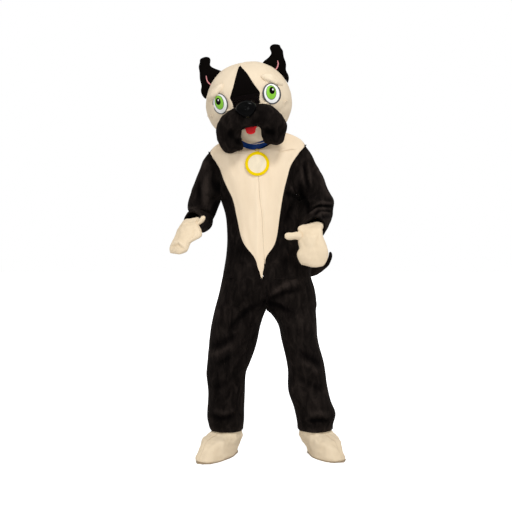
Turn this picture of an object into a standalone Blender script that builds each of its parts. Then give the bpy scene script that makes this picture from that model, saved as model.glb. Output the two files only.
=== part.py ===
"""Plush dog mascot costume: a worn, hollow jumpsuit with mitts, foot covers, tail and head.

The wearer's shoulders carry it, so the world origin is the base of the neck, with +Z up and the
front of the costume facing -Y. Tables are in millimetres and MM brings them to metres. "left" and
"right" in names are the sides seen from in front: left is -X and right is +X.
"""

import math
from typing import NamedTuple

import bmesh
import bpy
from mathutils import Matrix, Vector

MM = 0.001
PLUSH = 2.5  # pile fabric and its backing
HEAD_WALL = 7.0  # plush over foam
SOLE = 3.0
SEAM = 0.3  # clear gap between two sewn pieces
FLOOR = -1431.0
TURN = 2 * math.pi

PART = "dog_mascot_costume"
LEFT = -1
RIGHT = 1
SIDE_NAMES = {LEFT: "left", RIGHT: "right"}


class Finish(NamedTuple):
    name: str
    colour: tuple
    roughness: float


BLACK_PLUSH = Finish("black_plush", (0.010, 0.008, 0.007), 0.8)
CREAM_PLUSH = Finish("cream_plush", (0.83, 0.66, 0.47), 0.9)
PINK_PLUSH = Finish("pink_plush", (0.75, 0.32, 0.34), 0.9)
BLUE_SATIN = Finish("blue_satin", (0.012, 0.06, 0.21), 0.35)
RED_FELT = Finish("red_felt", (0.75, 0.015, 0.02), 0.8)
VISION_MESH = Finish("vision_mesh", (0.02, 0.014, 0.012), 0.7)
NOSE_VINYL = Finish("nose_vinyl", (0.006, 0.006, 0.006), 0.15)
EYE_VINYL = Finish("eye_vinyl", (0.86, 0.86, 0.84), 0.3)
TAG_YELLOW = Finish("tag_yellow", (0.92, 0.62, 0.01), 0.4)
TAG_CREAM = Finish("tag_cream", (0.85, 0.78, 0.6), 0.6)
SOLE_VINYL = Finish("sole_vinyl", (0.3, 0.23, 0.15), 0.7)


# ---------------------------------------------------------------- helpers


def between(rows, key):
    """The row at key: a smooth curve through each column, rows sorted by a falling first column."""
    key = min(max(key, rows[-1][0]), rows[0][0])
    place = 0
    while place < len(rows) - 2 and key < rows[place + 1][0]:
        place += 1
    here, there = rows[place], rows[place + 1]
    before, after = rows[max(place - 1, 0)], rows[min(place + 2, len(rows) - 1)]
    span = there[0] - here[0]
    t = (key - here[0]) / span
    values = []
    for column in range(1, len(here)):
        leave = (there[column] - before[column]) / (there[0] - before[0]) * span
        arrive = (after[column] - here[column]) / (after[0] - here[0]) * span
        rise = there[column] - here[column]
        bend = t * (1 - t) * ((leave - rise) * (1 - t) + (rise - arrive) * t)
        values.append(here[column] + rise * t + bend)
    return type(here)(key, *values)


def finish_material(finish):
    """The finish's material, made once."""
    material = bpy.data.materials.get(finish.name)
    if material is None:
        material = bpy.data.materials.new(finish.name)
        material.use_nodes = True
        shader = material.node_tree.nodes["Principled BSDF"]
        shader.inputs["Base Color"].default_value = (*finish.colour, 1)
        shader.inputs["Roughness"].default_value = finish.roughness
    return material


def add_object(name, finish, mesh):
    """Puts a closed bmesh, in millimetres, into the part's collection."""
    bmesh.ops.remove_doubles(mesh, verts=mesh.verts, dist=1e-4)
    bmesh.ops.recalc_face_normals(mesh, faces=mesh.faces)
    if mesh.calc_volume(signed=True) < 0:
        bmesh.ops.reverse_faces(mesh, faces=mesh.faces)
    bmesh.ops.scale(mesh, vec=(MM, MM, MM), verts=mesh.verts)
    data = bpy.data.meshes.new(name)
    mesh.to_mesh(data)
    mesh.free()
    data.shade_smooth()
    data.set_sharp_from_angle(angle=math.radians(50))
    data.materials.append(finish_material(finish))
    obj = bpy.data.objects.new(name, data)
    bpy.data.collections[PART].objects.link(obj)
    return obj


def skin(mesh, grid, closed):
    """Quads over a grid of vertices; closed joins the last column to the first."""
    columns = len(grid[0])
    for upper, lower in zip(grid, grid[1:]):
        for column in range(columns if closed else columns - 1):
            beside = (column + 1) % columns
            mesh.faces.new((upper[column], upper[beside], lower[beside], lower[column]))


def add_wall(name, finish, outer, inner, closed=False, capped=False):
    """A cloth wall between two grids of points: a tube when closed, with a shut end when capped."""
    mesh = bmesh.new()
    outside = [[mesh.verts.new(point) for point in row] for row in outer]
    inside = [[mesh.verts.new(point) for point in row] for row in inner]
    skin(mesh, outside, closed)
    skin(mesh, inside, closed)
    skin(mesh, [outside[0], inside[0]], closed)
    if capped:
        mesh.faces.new(outside[-1])
        mesh.faces.new(inside[-1])
    else:
        skin(mesh, [outside[-1], inside[-1]], closed)
    if not closed:
        for end in (0, -1):
            edge = [[row[end] for row in outside], [row[end] for row in inside]]
            skin(mesh, edge, False)
    return add_object(name, finish, mesh)


def add_solid(name, finish, rings):
    """A stuffed or plain solid through closed rings, its two ends shut."""
    mesh = bmesh.new()
    grid = [[mesh.verts.new(point) for point in ring] for ring in rings]
    skin(mesh, grid, True)
    mesh.faces.new(grid[0])
    mesh.faces.new(grid[-1])
    return add_object(name, finish, mesh)


def normal_of(surface, u, v):
    """Outward unit normal of surface(u, v) by differences; u runs across and v down."""
    step_u, step_v = 0.01, 1.0
    across = surface(u + step_u, v) - surface(u - step_u, v)
    down = surface(u, v - step_v) - surface(u, v + step_v)
    return across.cross(down).normalized()


def panel_grids(surface, facing, levels, edges, columns, thickness):
    """Outer and inner points of a panel cut from surface, half a seam inside its own edges.

    facing is 1 or -1, the side of the normal that faces out. edges(v) gives the first and last u.
    """
    outer, inner = [], []
    for place, level in enumerate(levels):
        if place == 0:
            level -= SEAM / 2
        elif place == len(levels) - 1:
            level += SEAM / 2
        first, last = edges(levels[place])
        reach = (surface(last, level) - surface(first, level)).length
        trim = min(0.45, SEAM / max(reach, SEAM)) * (last - first) / 2
        outer_row, inner_row = [], []
        for column in range(columns + 1):
            u = first + trim + (last - first - 2 * trim) * column / columns
            point = surface(u, level)
            outer_row.append(point)
            inner_row.append(point - normal_of(surface, u, level) * facing * thickness)
        outer.append(outer_row)
        inner.append(inner_row)
    return outer, inner


def ring_normals(rings, centres):
    """Normals of a closed grid of rings, on the side that faces away from the centres overall."""
    normals = []
    count = len(rings[0])
    away = 0.0
    for place, ring in enumerate(rings):
        above, below = rings[max(place - 1, 0)], rings[min(place + 1, len(rings) - 1)]
        row = []
        for column in range(count):
            across = ring[(column + 1) % count] - ring[column - 1]
            row.append(across.cross(below[column] - above[column]).normalized())
            away += row[-1].dot(ring[column] - centres[place])
        normals.append(row)
    return [[normal * math.copysign(1, away) for normal in row] for row in normals]


def inward(rings, normals, thickness):
    """The rings moved in by thickness along their normals."""
    return [
        [point - normal * thickness for point, normal in zip(ring, row)]
        for ring, row in zip(rings, normals)
    ]


def steps(first, last, count):
    """count + 1 even steps from first to last."""
    return [first + (last - first) * place / count for place in range(count + 1)]


def bump(distance, width):
    """A soft bell of height 1 and the given half-width."""
    return math.exp(-((distance / width) ** 2))


# ---------------------------------------------------------------- jumpsuit


class TorsoRing(NamedTuple):
    """A level ring of the torso: slope drops its front, roll lifts its right side."""

    level: float
    centre: float
    half_width: float
    front: float
    back: float
    split: float  # how far each leg's oval has moved out from the centre seam
    slope: float
    roll: float


class LegRing(NamedTuple):
    level: float
    centre: float
    half_width: float
    set_back: float
    half_depth: float


TORSO = [
    TorsoRing(60, 0, 90, 108, 66, 0, 0.76, 0.10),
    TorsoRing(50, 1, 128, 116, 82, 0, 0.64, 0.10),
    TorsoRing(30, 2, 176, 121, 98, 0, 0.46, 0.09),
    TorsoRing(4, 2, 211, 125, 110, 0, 0.28, 0.08),
    TorsoRing(-26, 2, 226, 129, 118, 0, 0.14, 0.07),
    TorsoRing(-70, 4, 222, 133, 122, 0, 0.04, 0.06),
    TorsoRing(-120, 6, 212, 136, 124, 0, 0.0, 0.045),
    TorsoRing(-180, 9, 198, 137, 124, 0, 0.0, 0.03),
    TorsoRing(-240, 12, 183, 136, 121, 0, 0.0, 0.015),
    TorsoRing(-320, 22, 169, 133, 117, 0, 0.0, 0.0),
    TorsoRing(-400, 26, 165, 133, 118, 0, 0.0, 0.0),
    TorsoRing(-480, 31, 172, 137, 126, 0, 0.0, 0.0),
    TorsoRing(-560, 38, 190, 142, 138, 8, 0.0, 0.0),
    TorsoRing(-640, 46, 213, 145, 145, 60, 0.0, 0.0),
    TorsoRing(-700, 46, 226, 143, 141, 98, 0.0, 0.0),
    TorsoRing(-762, 42, 238, 132, 130, 118, 0.0, 0.0),
]
LEGS = {
    LEFT: [
        LegRing(-762, -78, 118, 0, 131),
        LegRing(-825, -96, 116, 0, 122),
        LegRing(-924, -115, 109, 2, 112),
        LegRing(-985, -127, 103, 4, 106),
        LegRing(-1051, -142, 93, 6, 100),
        LegRing(-1147, -141, 86, 10, 96),
        LegRing(-1220, -144, 86, 14, 94),
        LegRing(-1275, -145, 86, 16, 92),
        LegRing(-1318, -139, 75, 16, 84),
    ],
    RIGHT: [
        LegRing(-762, 162, 112, 0, 131),
        LegRing(-825, 187, 92, 0, 124),
        LegRing(-904, 199, 86, 2, 116),
        LegRing(-1010, 227, 86, 4, 106),
        LegRing(-1107, 239, 87, 8, 98),
        LegRing(-1193, 256, 89, 12, 95),
        LegRing(-1255, 269, 89, 14, 93),
        LegRing(-1318, 271, 80, 14, 84),
    ],
}
NECK_EDGE = TORSO[0].level
CROTCH = TORSO[-1].level
HEM = -1318.0


class Fold(NamedTuple):
    """A soft ridge (or trough, with a negative height) from (u0, v0) to (u1, v1) of a surface."""

    side: int
    u0: float
    v0: float
    u1: float
    v1: float
    width: float
    height: float


# u is 0 at the centre front or inseam, 1 at the side seam and 2 at the centre back.
SUIT_FOLDS = [
    Fold(RIGHT, 0.30, 10, 0.55, -90, 16, 4),
    Fold(RIGHT, 0.36, 0, 0.48, -60, 12, 3),
    Fold(LEFT, 0.35, -10, 0.50, -110, 16, 3),
    Fold(LEFT, 0.80, -270, 0.55, -345, 16, -5),
    Fold(RIGHT, 0.85, -265, 0.50, -330, 16, -6),
    Fold(RIGHT, 0.80, -320, 0.45, -400, 18, 5),
    Fold(LEFT, 0.85, -400, 0.60, -470, 20, 5),
    Fold(RIGHT, 0.95, -430, 0.55, -500, 20, 6),
    Fold(LEFT, 0.20, -640, 0.75, -700, 20, 6),
    Fold(LEFT, 0.15, -735, 0.80, -790, 18, -7),
    Fold(RIGHT, 0.10, -700, 0.70, -650, 18, 6),
    Fold(RIGHT, 0.10, -745, 0.85, -735, 18, -8),
    Fold(RIGHT, 0.10, -765, 0.70, -850, 18, 7),
    Fold(RIGHT, 0.45, -850, 0.55, -1060, 22, 6),
    Fold(LEFT, 0.55, -830, 0.45, -1010, 24, 6),
    Fold(LEFT, 0.85, -1010, 0.20, -1060, 20, -7),
    Fold(RIGHT, 0.80, -1020, 0.15, -1075, 20, -7),
    Fold(LEFT, 0.30, -1120, 0.75, -1180, 20, 6),
    Fold(RIGHT, 0.20, -1150, 0.80, -1200, 20, 7),
    Fold(LEFT, 0.80, -1230, 0.20, -1262, 16, 6),
    Fold(RIGHT, 0.85, -1240, 0.25, -1270, 16, 7),
    Fold(LEFT, 1.45, 0, 1.55, -200, 20, 5),
    Fold(RIGHT, 1.45, 0, 1.60, -180, 20, 5),
    Fold(LEFT, 1.20, -330, 1.75, -400, 20, 6),
    Fold(RIGHT, 1.20, -350, 1.75, -430, 20, 6),
    Fold(LEFT, 1.30, -690, 1.85, -740, 20, -7),
    Fold(RIGHT, 1.30, -690, 1.85, -745, 20, -7),
    Fold(LEFT, 1.25, -1000, 1.80, -1040, 22, -7),
    Fold(RIGHT, 1.25, -1010, 1.80, -1050, 22, -7),
    Fold(LEFT, 1.20, -1200, 1.75, -1240, 20, 6),
    Fold(RIGHT, 1.25, -1190, 1.80, -1230, 20, 6),
]
U_SPAN = 270.0  # length of cloth for one unit of u, for measuring folds
NAPE_RISE = 0.15  # share of a ring's slope that is left behind the shoulders
SEAM_FADE = 0.12  # u over which folds die out at the centre seams


def fold_height(folds, side, u, v, u_span, v_span=1.0):
    """How far the folds of this side lift the cloth at (u, v); the spans bring both to millimetres."""
    lift = 0.0
    for fold in folds:
        if fold.side != side:
            continue
        start = Vector((fold.u0 * u_span, fold.v0 * v_span))
        run = Vector((fold.u1 * u_span, fold.v1 * v_span)) - start
        here = Vector((u * u_span, v * v_span)) - start
        along = here.dot(run) / run.length_squared
        beyond = max(0.0, -along, along - 1) * run.length
        aside = (here - run * along).length
        lift += fold.height * bump(aside, fold.width) * bump(beyond, fold.width)
    return lift


def neck_drop(ring, y):
    """How far a torso ring drops in front of the shoulders, or rises a little behind them."""
    return ring.slope * y * (1.0 if y < 0 else NAPE_RISE)


def suit_base(side, u, v):
    """A point of the jumpsuit half before its folds, and the level direction out of the cloth."""
    if v > CROTCH:
        ring = between(TORSO, v)
        half_width = ring.half_width - ring.split
        centre = ring.centre + side * ring.split
        front, back, set_back = ring.front, ring.back, 0.0
        start = math.acos(min(1.0, (ring.split - SEAM / 2) / half_width))
    else:
        ring = between(LEGS[side], v)
        half_width, centre = ring.half_width, ring.centre
        front, back, set_back = ring.half_depth, ring.half_depth, ring.set_back
        start = 0.0
    turn = start + (math.pi - start) * (u if u <= 1 else 2 - u)
    x = centre - side * half_width * math.cos(turn)
    y = -front * math.sin(turn) if u <= 1 else back * math.sin(turn)
    y += set_back
    z = v
    if v > CROTCH:
        z += neck_drop(ring, y) + ring.roll * (x - ring.centre)
    depth = front if u <= 1 else back
    out = Vector((-side * math.cos(turn) / half_width, (y - set_back) / depth**2, 0))
    return Vector((x, y, z)), out.normalized()


def suit_surface(side):
    """surface(u, v) of one half of the jumpsuit, with its folds, which fade at the centre seams."""

    def surface(u, v):
        point, out = suit_base(side, u, min(max(v, HEM), NECK_EDGE))
        fade = min(1.0, abs(u) / SEAM_FADE, abs(2 - u) / SEAM_FADE)
        return point + out * fold_height(SUIT_FOLDS, side, u, v, U_SPAN) * fade

    return surface


class Armhole(NamedTuple):
    top: float
    bottom: float
    front: float  # reach before the side seam, in u
    back: float  # reach behind the side seam, in u


ARMHOLES = {LEFT: Armhole(-12, -242, 0.36, 0.38), RIGHT: Armhole(-12, -242, 0.46, 0.38)}
SLEEVE_SIDES = 18
ARMHOLE_MIDDLE = (ARMHOLES[LEFT].top + ARMHOLES[LEFT].bottom) / 2
ARMHOLE_HALF = (ARMHOLES[LEFT].top - ARMHOLES[LEFT].bottom) / 2
ARMHOLE_LEVELS = [
    ARMHOLE_MIDDLE + ARMHOLE_HALF * math.cos(TURN * place / SLEEVE_SIDES)
    for place in range(SLEEVE_SIDES // 2 + 1)
]


def armhole_reach(v, reach):
    """Half-opening of the armhole at level v, in u: round below and squarer than an ellipse."""
    height = min(1.0, abs(v - ARMHOLE_MIDDLE) / ARMHOLE_HALF)
    return reach * math.sqrt(1 - height**3)


class BibEdge(NamedTuple):
    """Where the cream bib ends at a level, as x on each side; above this table it is the armhole."""

    level: float
    left: float
    right: float


BIB = [
    BibEdge(-59, -196, 180),
    BibEdge(-91, -174, 158),
    BibEdge(-150, -154, 139),
    BibEdge(-190, -137, 128),
    BibEdge(-249, -110, 115),
    BibEdge(-318, -95, 104),
    BibEdge(-420, -72, 89),
    BibEdge(-466, -49, 72),
    BibEdge(-515, -8, 42),
    BibEdge(-549, 5, 33),
    BibEdge(-606, 25, 30),
]
BIB_TIP = BIB[-1].level
BIB_LEAST = 0.012  # u left at the tip


def bib_edge(side, v):
    """u of the bib's edge at level v on this side."""
    limit = 1 - armhole_reach(v, ARMHOLES[side].front)
    if v > BIB[0].level:
        return limit
    ring = between(TORSO, v)
    row = between(BIB, v)
    out = side * ((row.left if side == LEFT else row.right) - ring.centre)
    half_width = ring.half_width - ring.split
    start = math.acos(min(1.0, ring.split / half_width))
    turn = math.acos(min(1.0, max(-1.0, (ring.split - out) / half_width)))
    return min(max((turn - start) / (math.pi - start), BIB_LEAST), limit - 0.01)


SHOULDER_LEVELS = [NECK_EDGE, 52, 40, 22, 5, *ARMHOLE_LEVELS]
WAIST_LEVELS = [-276, -312, -350, -390, -428, -466, -505, -540, -574, BIB_TIP]
SEAT_LEVELS = [BIB_TIP - 3, -645, -682, -714, -742]
LEG_LEVELS = [
    *(CROTCH, -796, -838, -884, -930, -976, -1018, -1058),
    *(-1104, -1150, -1196, -1234, -1268, -1296, HEM),
]
BIB_START = 8  # the side front begins at this shoulder level, where the bib leaves the armhole
COLUMNS = {"bib": 5, "front": 6, "back": 7}


def add_jumpsuit():
    """Bib halves, side fronts with their legs, and backs, each side of the centre seams."""
    suit_levels = SHOULDER_LEVELS + WAIST_LEVELS + SEAT_LEVELS + LEG_LEVELS
    bib_levels = SHOULDER_LEVELS + WAIST_LEVELS
    for side, name in SIDE_NAMES.items():
        surface = suit_surface(side)
        hole = ARMHOLES[side]

        def front_edges(v, side=side, hole=hole):
            first = bib_edge(side, v) if v > BIB_TIP - 1 else 0.0
            return first, 1 - armhole_reach(v, hole.front)

        def bib_edges(v, side=side):
            return 0.0, bib_edge(side, v)

        def back_edges(v, hole=hole):
            return 1 + armhole_reach(v, hole.back), 2.0

        pieces = [
            ("bib", CREAM_PLUSH, bib_levels, bib_edges),
            ("front", BLACK_PLUSH, suit_levels[BIB_START:], front_edges),
            ("back", BLACK_PLUSH, suit_levels, back_edges),
        ]
        for piece, finish, levels, edges in pieces:
            grids = panel_grids(surface, -side, levels, edges, COLUMNS[piece], PLUSH)
            add_wall(f"{piece}_{name}", finish, *grids)



# ---------------------------------------------------------------- sleeves


class Section(NamedTuple):
    """An oval section of a limb: its centre, half-width, half-depth and how settled it is.

    settled blends from the armhole's own shape (0) to the plain oval (1).
    """

    x: float
    y: float
    z: float
    half_width: float
    half_depth: float
    settled: float


SLEEVES = {
    LEFT: [
        Section(-205, 0, -132, 95, 84, 0.0),
        Section(-211, 1, -150, 82, 82, 0.4),
        Section(-217, 3, -178, 76, 78, 0.8),
        Section(-228, 6, -210, 72, 75, 1.0),
        Section(-240, 10, -242, 71, 72, 1.0),
        Section(-250, 12, -274, 71, 70, 1.0),
        Section(-261, 10, -304, 68, 67, 1.0),
        Section(-265, -2, -330, 65, 62, 1.0),
        Section(-266, -26, -344, 64, 56, 1.0),
        Section(-271, -56, -346, 59, 50, 1.0),
        Section(-279, -88, -343, 52, 46, 1.0),
        Section(-285, -116, -340, 47, 43, 1.0),
        Section(-290, -142, -338, 43, 40, 1.0),
    ],
    RIGHT: [
        Section(206, 0, -112, 95, 84, 0.0),
        Section(212, 1, -124, 84, 84, 0.4),
        Section(222, 3, -148, 78, 80, 0.8),
        Section(240, 6, -176, 74, 76, 1.0),
        Section(257, 10, -206, 73, 74, 1.0),
        Section(270, 14, -236, 74, 71, 1.0),
        Section(272, 6, -266, 84, 70, 1.0),
        Section(274, -4, -294, 85, 66, 1.0),
        Section(271, -22, -318, 83, 60, 1.0),
        Section(270, -46, -334, 72, 54, 1.0),
        Section(268, -78, -344, 60, 49, 1.0),
        Section(265, -108, -350, 52, 45, 1.0),
        Section(262, -134, -353, 46, 42, 1.0),
    ],
}

# u is 0 on top (the outer arm), 0.25 in front and 0.5 underneath; v is the section's number.
SLEEVE_FOLDS = [
    Fold(LEFT, 0.10, 1.0, 0.14, 6.0, 14, 5),
    Fold(LEFT, 0.26, 1.5, 0.24, 7.0, 14, 5),
    Fold(LEFT, 0.40, 1.5, 0.34, 5.0, 12, -5),
    Fold(LEFT, 0.98, 5.0, 0.30, 6.5, 14, 4),
    Fold(LEFT, 0.00, 7.6, 0.34, 8.2, 12, -5),
    Fold(LEFT, 0.90, 10.0, 0.40, 10.3, 11, 4),
    Fold(RIGHT, 0.10, 1.0, 0.16, 5.0, 14, 5),
    Fold(RIGHT, 0.46, 2.0, 0.20, 6.0, 14, -8),
    Fold(RIGHT, 0.46, 3.5, 0.28, 6.6, 12, 6),
    Fold(RIGHT, 0.04, 6.0, 0.34, 7.2, 12, 6),
    Fold(RIGHT, 0.00, 7.4, 0.34, 8.4, 12, -6),
    Fold(RIGHT, 0.96, 8.6, 0.30, 9.4, 12, 6),
    Fold(LEFT, 0.70, 2.0, 0.66, 6.0, 14, 5),
    Fold(RIGHT, 0.70, 2.0, 0.66, 6.0, 14, 5),
]
SLEEVE_GIRTH = 420.0
SECTION_SPACING = 32.0
SLEEVE_LEAN = 0.25  # how far the top of a sleeve's first section leans out
UNDERARM_GAP = 2.0
UNDERARM_ROW = {LEFT: 4, RIGHT: 5}  # the first section wholly below the armhole


def frames_along(points, across):
    """Pairs of unit vectors square to a path at each point, turned with it from the first, across."""
    pairs = []
    for place in range(len(points)):
        ahead = points[min(place + 1, len(points) - 1)] - points[max(place - 1, 0)]
        ahead.normalize()
        across = (across - ahead * across.dot(ahead)).normalized()
        pairs.append((across, ahead.cross(across).normalized()))
    return pairs


def clear_of_torso(point):
    """A point of a sleeve, moved out to lie just off the torso where it would be inside it."""
    ring = between(TORSO, point.z)
    ring = between(TORSO, point.z - neck_drop(ring, point.y) - ring.roll * (point.x - ring.centre))
    depth = ring.front if point.y < 0 else ring.back
    offset = Vector(((point.x - ring.centre) / ring.half_width, point.y / depth))
    least = 1 + UNDERARM_GAP / ring.half_width
    if offset.length >= least:
        return point
    offset *= least / offset.length
    return Vector((ring.centre + offset.x * ring.half_width, offset.y * depth, point.z))


def armhole_ring(side):
    """The sleeve's first ring, on the edge of the armhole."""
    hole = ARMHOLES[side]
    surface = suit_surface(side)
    ring = []
    for step in range(SLEEVE_SIDES):
        in_front = step <= SLEEVE_SIDES // 2
        level = ARMHOLE_LEVELS[min(step, SLEEVE_SIDES - step)]
        aside = armhole_reach(level, hole.front if in_front else hole.back)
        ring.append(surface(1 - aside if in_front else 1 + aside, level))
    return ring


def arm_oval(row, centre, top, front):
    """An oval ring square to the arm, from its top round its front."""
    return [
        centre + top * row.half_width * math.cos(turn) + front * row.half_depth * math.sin(turn)
        for turn in steps(0, TURN, SLEEVE_SIDES)[:-1]
    ]


def sleeve_rings(side):
    """Outer rings of a sleeve, fanned out from the armhole's lower edge and then down to the cuff."""
    rows = SLEEVES[side]
    centres = [Vector(row[:3]) for row in rows]
    frames = frames_along(centres, Vector((side * SLEEVE_LEAN, 0, 1)))
    forward = -math.copysign(1, frames[0][1].y)
    ovals = [
        arm_oval(row, centre, top, beside * forward)
        for row, centre, (top, beside) in zip(rows, centres, frames)
    ]
    edge = armhole_ring(side)
    past = UNDERARM_ROW[side]
    rings = [edge]
    for place in range(1, len(rows)):
        ring = []
        for step, oval in enumerate(ovals[place]):
            point = edge[step].lerp(oval, rows[place].settled)
            share = step / SLEEVE_SIDES
            under = (1 - math.cos(TURN * share)) / 2
            if place < past:
                point = point.lerp(edge[step].lerp(ovals[past][step], place / past), under)
            out = (point - centres[place]).normalized()
            point += out * sleeve_fold(side, share, place) * rows[place].settled
            ring.append(clear_of_torso(point))
        rings.append(ring)
    return rings, centres


def sleeve_fold(side, share, place):
    """Fold height on a sleeve, where share goes once round and so meets itself."""
    return sum(
        fold_height(SLEEVE_FOLDS, side, turn, place, SLEEVE_GIRTH, SECTION_SPACING)
        for turn in (share - 1, share, share + 1)
    )


def add_sleeves():
    for side, name in SIDE_NAMES.items():
        rings, centres = sleeve_rings(side)
        normals = ring_normals(rings, centres)
        inner = inward(rings, normals, PLUSH)
        heart = sum(rings[0], Vector()) / SLEEVE_SIDES
        aims = [(heart - point).normalized() for point in rings[0]]
        inner[0] = [point + aim * (SEAM + PLUSH) for point, aim in zip(rings[0], aims)]
        rings[0] = [point + aim * SEAM for point, aim in zip(rings[0], aims)]
        add_wall(f"sleeve_{name}", BLACK_PLUSH, rings, inner, closed=True)


# ---------------------------------------------------------------- mitts


class Slice(NamedTuple):
    """An oval slice of a mitt or thumb: centre, half-width and half-thickness."""

    x: float
    y: float
    z: float
    half_width: float
    half_thickness: float


MITTS = {
    LEFT: [
        Slice(-289, -120, -338, 37, 34),
        Slice(-291, -150, -340, 37, 33),
        Slice(-298, -172, -348, 39, 30),
        Slice(-301, -190, -362, 46, 31),
        Slice(-307, -204, -382, 56, 30),
        Slice(-316, -217, -404, 55, 27),
        Slice(-329, -230, -426, 48, 24),
        Slice(-341, -242, -446, 44, 22),
        Slice(-351, -252, -466, 42, 19),
        Slice(-358, -259, -483, 32, 12),
    ],
    RIGHT: [
        Slice(262, -116, -352, 40.6, 36.6),
        Slice(260, -144, -355, 41, 35),
        Slice(250, -170, -362, 45, 33),
        Slice(243, -190, -376, 51, 34),
        Slice(240, -203, -396, 53, 33),
        Slice(241, -210, -418, 54, 32),
        Slice(244, -213, -443, 60, 30),
        Slice(246, -214, -471, 68, 28),
        Slice(246, -214, -502, 70, 24),
        Slice(246, -212, -533, 55, 16),
    ],
}
THUMBS = {
    LEFT: [
        Slice(-262, -197, -374, 21, 19),
        Slice(-249, -200, -355, 16, 16),
        Slice(-244, -203, -341, 14, 14),
        Slice(-241, -206, -329, 14, 13),
        Slice(-237, -209, -321, 9, 8),
    ],
    RIGHT: [
        Slice(208, -206, -406, 23, 19),
        Slice(188, -209, -408, 20, 18),
        Slice(168, -211, -411, 17, 16),
        Slice(148, -212, -413, 16, 14),
        Slice(132, -212, -412, 13, 11),
        Slice(124, -212, -411, 8, 6),
    ],
}
MITT_ACROSS = {LEFT: Vector((0.93, 0.0, 0.38)), RIGHT: Vector((1, 0.0, 0.0))}
MITT_SIDES = 12
FINGER_END = 6.0  # how far the fingertip seam lies past the last slice
FINGER_SEAM = 0.8  # width of that seam as a share of the last slice's
THUMB_GAP = {LEFT: 2.6, RIGHT: 1.3}
THUMB_CLEARS = 1.5  # more clearance from the hand at each slice towards the tip
THUMB_SIDES = 10
LANDING_STEP = 0.25
MOST_STEPS = 400


def oval_point(centre, wide, thin, half_width, half_thickness, turn):
    """The point of an oval at a turn, its half-sizes lying along wide and thin."""
    return centre + wide * half_width * math.cos(turn) + thin * half_thickness * math.sin(turn)


def oval_rings(rows, across, sides):
    """Rings through a table of slices, the wide way of each nearest to across."""
    centres = [Vector(row[:3]) for row in rows]
    turns = steps(0, TURN, sides)[:-1]
    return [
        [oval_point(centre, *pair, row.half_width, row.half_thickness, turn) for turn in turns]
        for row, centre, pair in zip(rows, centres, frames_along(centres, across))
    ]


def half_hand(side, sign):
    """Outer and inner points of a mitt's palm (sign 1) or back (-1), shut along its fingertip seam."""
    rows = MITTS[side]
    centres = [Vector(row[:3]) for row in rows]
    ahead = (centres[-1] - centres[-2]).normalized()
    frames = frames_along(centres, MITT_ACROSS[side])
    outer, inner = [], []
    for grid, wall in ((outer, 0.0), (inner, PLUSH)):
        for row, centre, (wide, thin) in zip(rows, centres, frames):
            turns = steps(0, math.pi, MITT_SIDES // 2)
            half_width, half_thickness = row.half_width - wall, row.half_thickness - wall
            shift = thin * sign * SEAM / 2
            grid.append(
                [
                    oval_point(centre + shift, wide, thin * sign, half_width, half_thickness, turn)
                    for turn in turns
                ]
            )
        wide, thin = frames[-1]
        tip = centres[-1] + ahead * (FINGER_END - wall) + thin * sign * SEAM / 2
        reach = rows[-1].half_width * FINGER_SEAM - wall
        grid.append([tip + wide * reach * math.cos(turn) for turn in turns])
    return outer, inner


def outside_hand(side, point, room):
    """Whether a point is clear of the mitt's hand by room."""
    rows = MITTS[side]
    centres = [Vector(row[:3]) for row in rows]
    nearest = min(range(len(rows)), key=lambda place: (centres[place] - point).length)
    wide, thin = frames_along(centres, MITT_ACROSS[side])[nearest]
    offset = point - centres[nearest]
    across = offset.dot(wide) / (rows[nearest].half_width + room)
    through = offset.dot(thin) / (rows[nearest].half_thickness + room)
    return across * across + through * through > 1


def landed(point, direction, is_clear):
    """The point slid along direction to where it is just clear."""
    for _ in range(MOST_STEPS):
        if is_clear(point):
            break
        point = point + direction * LANDING_STEP
    return point


def thumb_grids(side):
    """Outer and inner rings of a thumb, its open root lying on the hand."""
    rows = THUMBS[side]
    centres = [Vector(row[:3]) for row in rows]
    ahead = (centres[1] - centres[0]).normalized()
    frames = frames_along(centres, Vector((0, 0, 1)))
    grids = []
    for wall in (0.0, PLUSH):
        grid = []
        for place, (row, centre, (wide, thin)) in enumerate(zip(rows, centres, frames)):
            if place == len(rows) - 1:
                centre = centre - ahead * wall
            half_sizes = (row.half_width - wall, row.half_thickness - wall)
            turns = steps(0, TURN, THUMB_SIDES)[:-1]
            ring = [oval_point(centre, wide, thin, *half_sizes, turn) for turn in turns]
            room = THUMB_GAP[side] + THUMB_CLEARS * place
            grid.append(
                [landed(point, ahead, lambda at: outside_hand(side, at, room)) for point in ring]
            )
        grids.append(grid)
    return grids


def add_mitts():
    """Each mitt's palm, back and thumb."""
    for side, name in SIDE_NAMES.items():
        for piece, sign in (("palm", 1), ("back", -1)):
            add_wall(f"mitt_{piece}_{name}", CREAM_PLUSH, *half_hand(side, sign))
        add_wall(
            f"mitt_thumb_{name}", CREAM_PLUSH, *thumb_grids(side), closed=True, capped=True
        )


# ---------------------------------------------------------------- foot covers


class FootSlice(NamedTuple):
    """A level slice of a foot cover about the ankle: height above the floor and reaches."""

    height: float
    heel: float
    toe: float
    half_width: float
    outward: float


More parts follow.
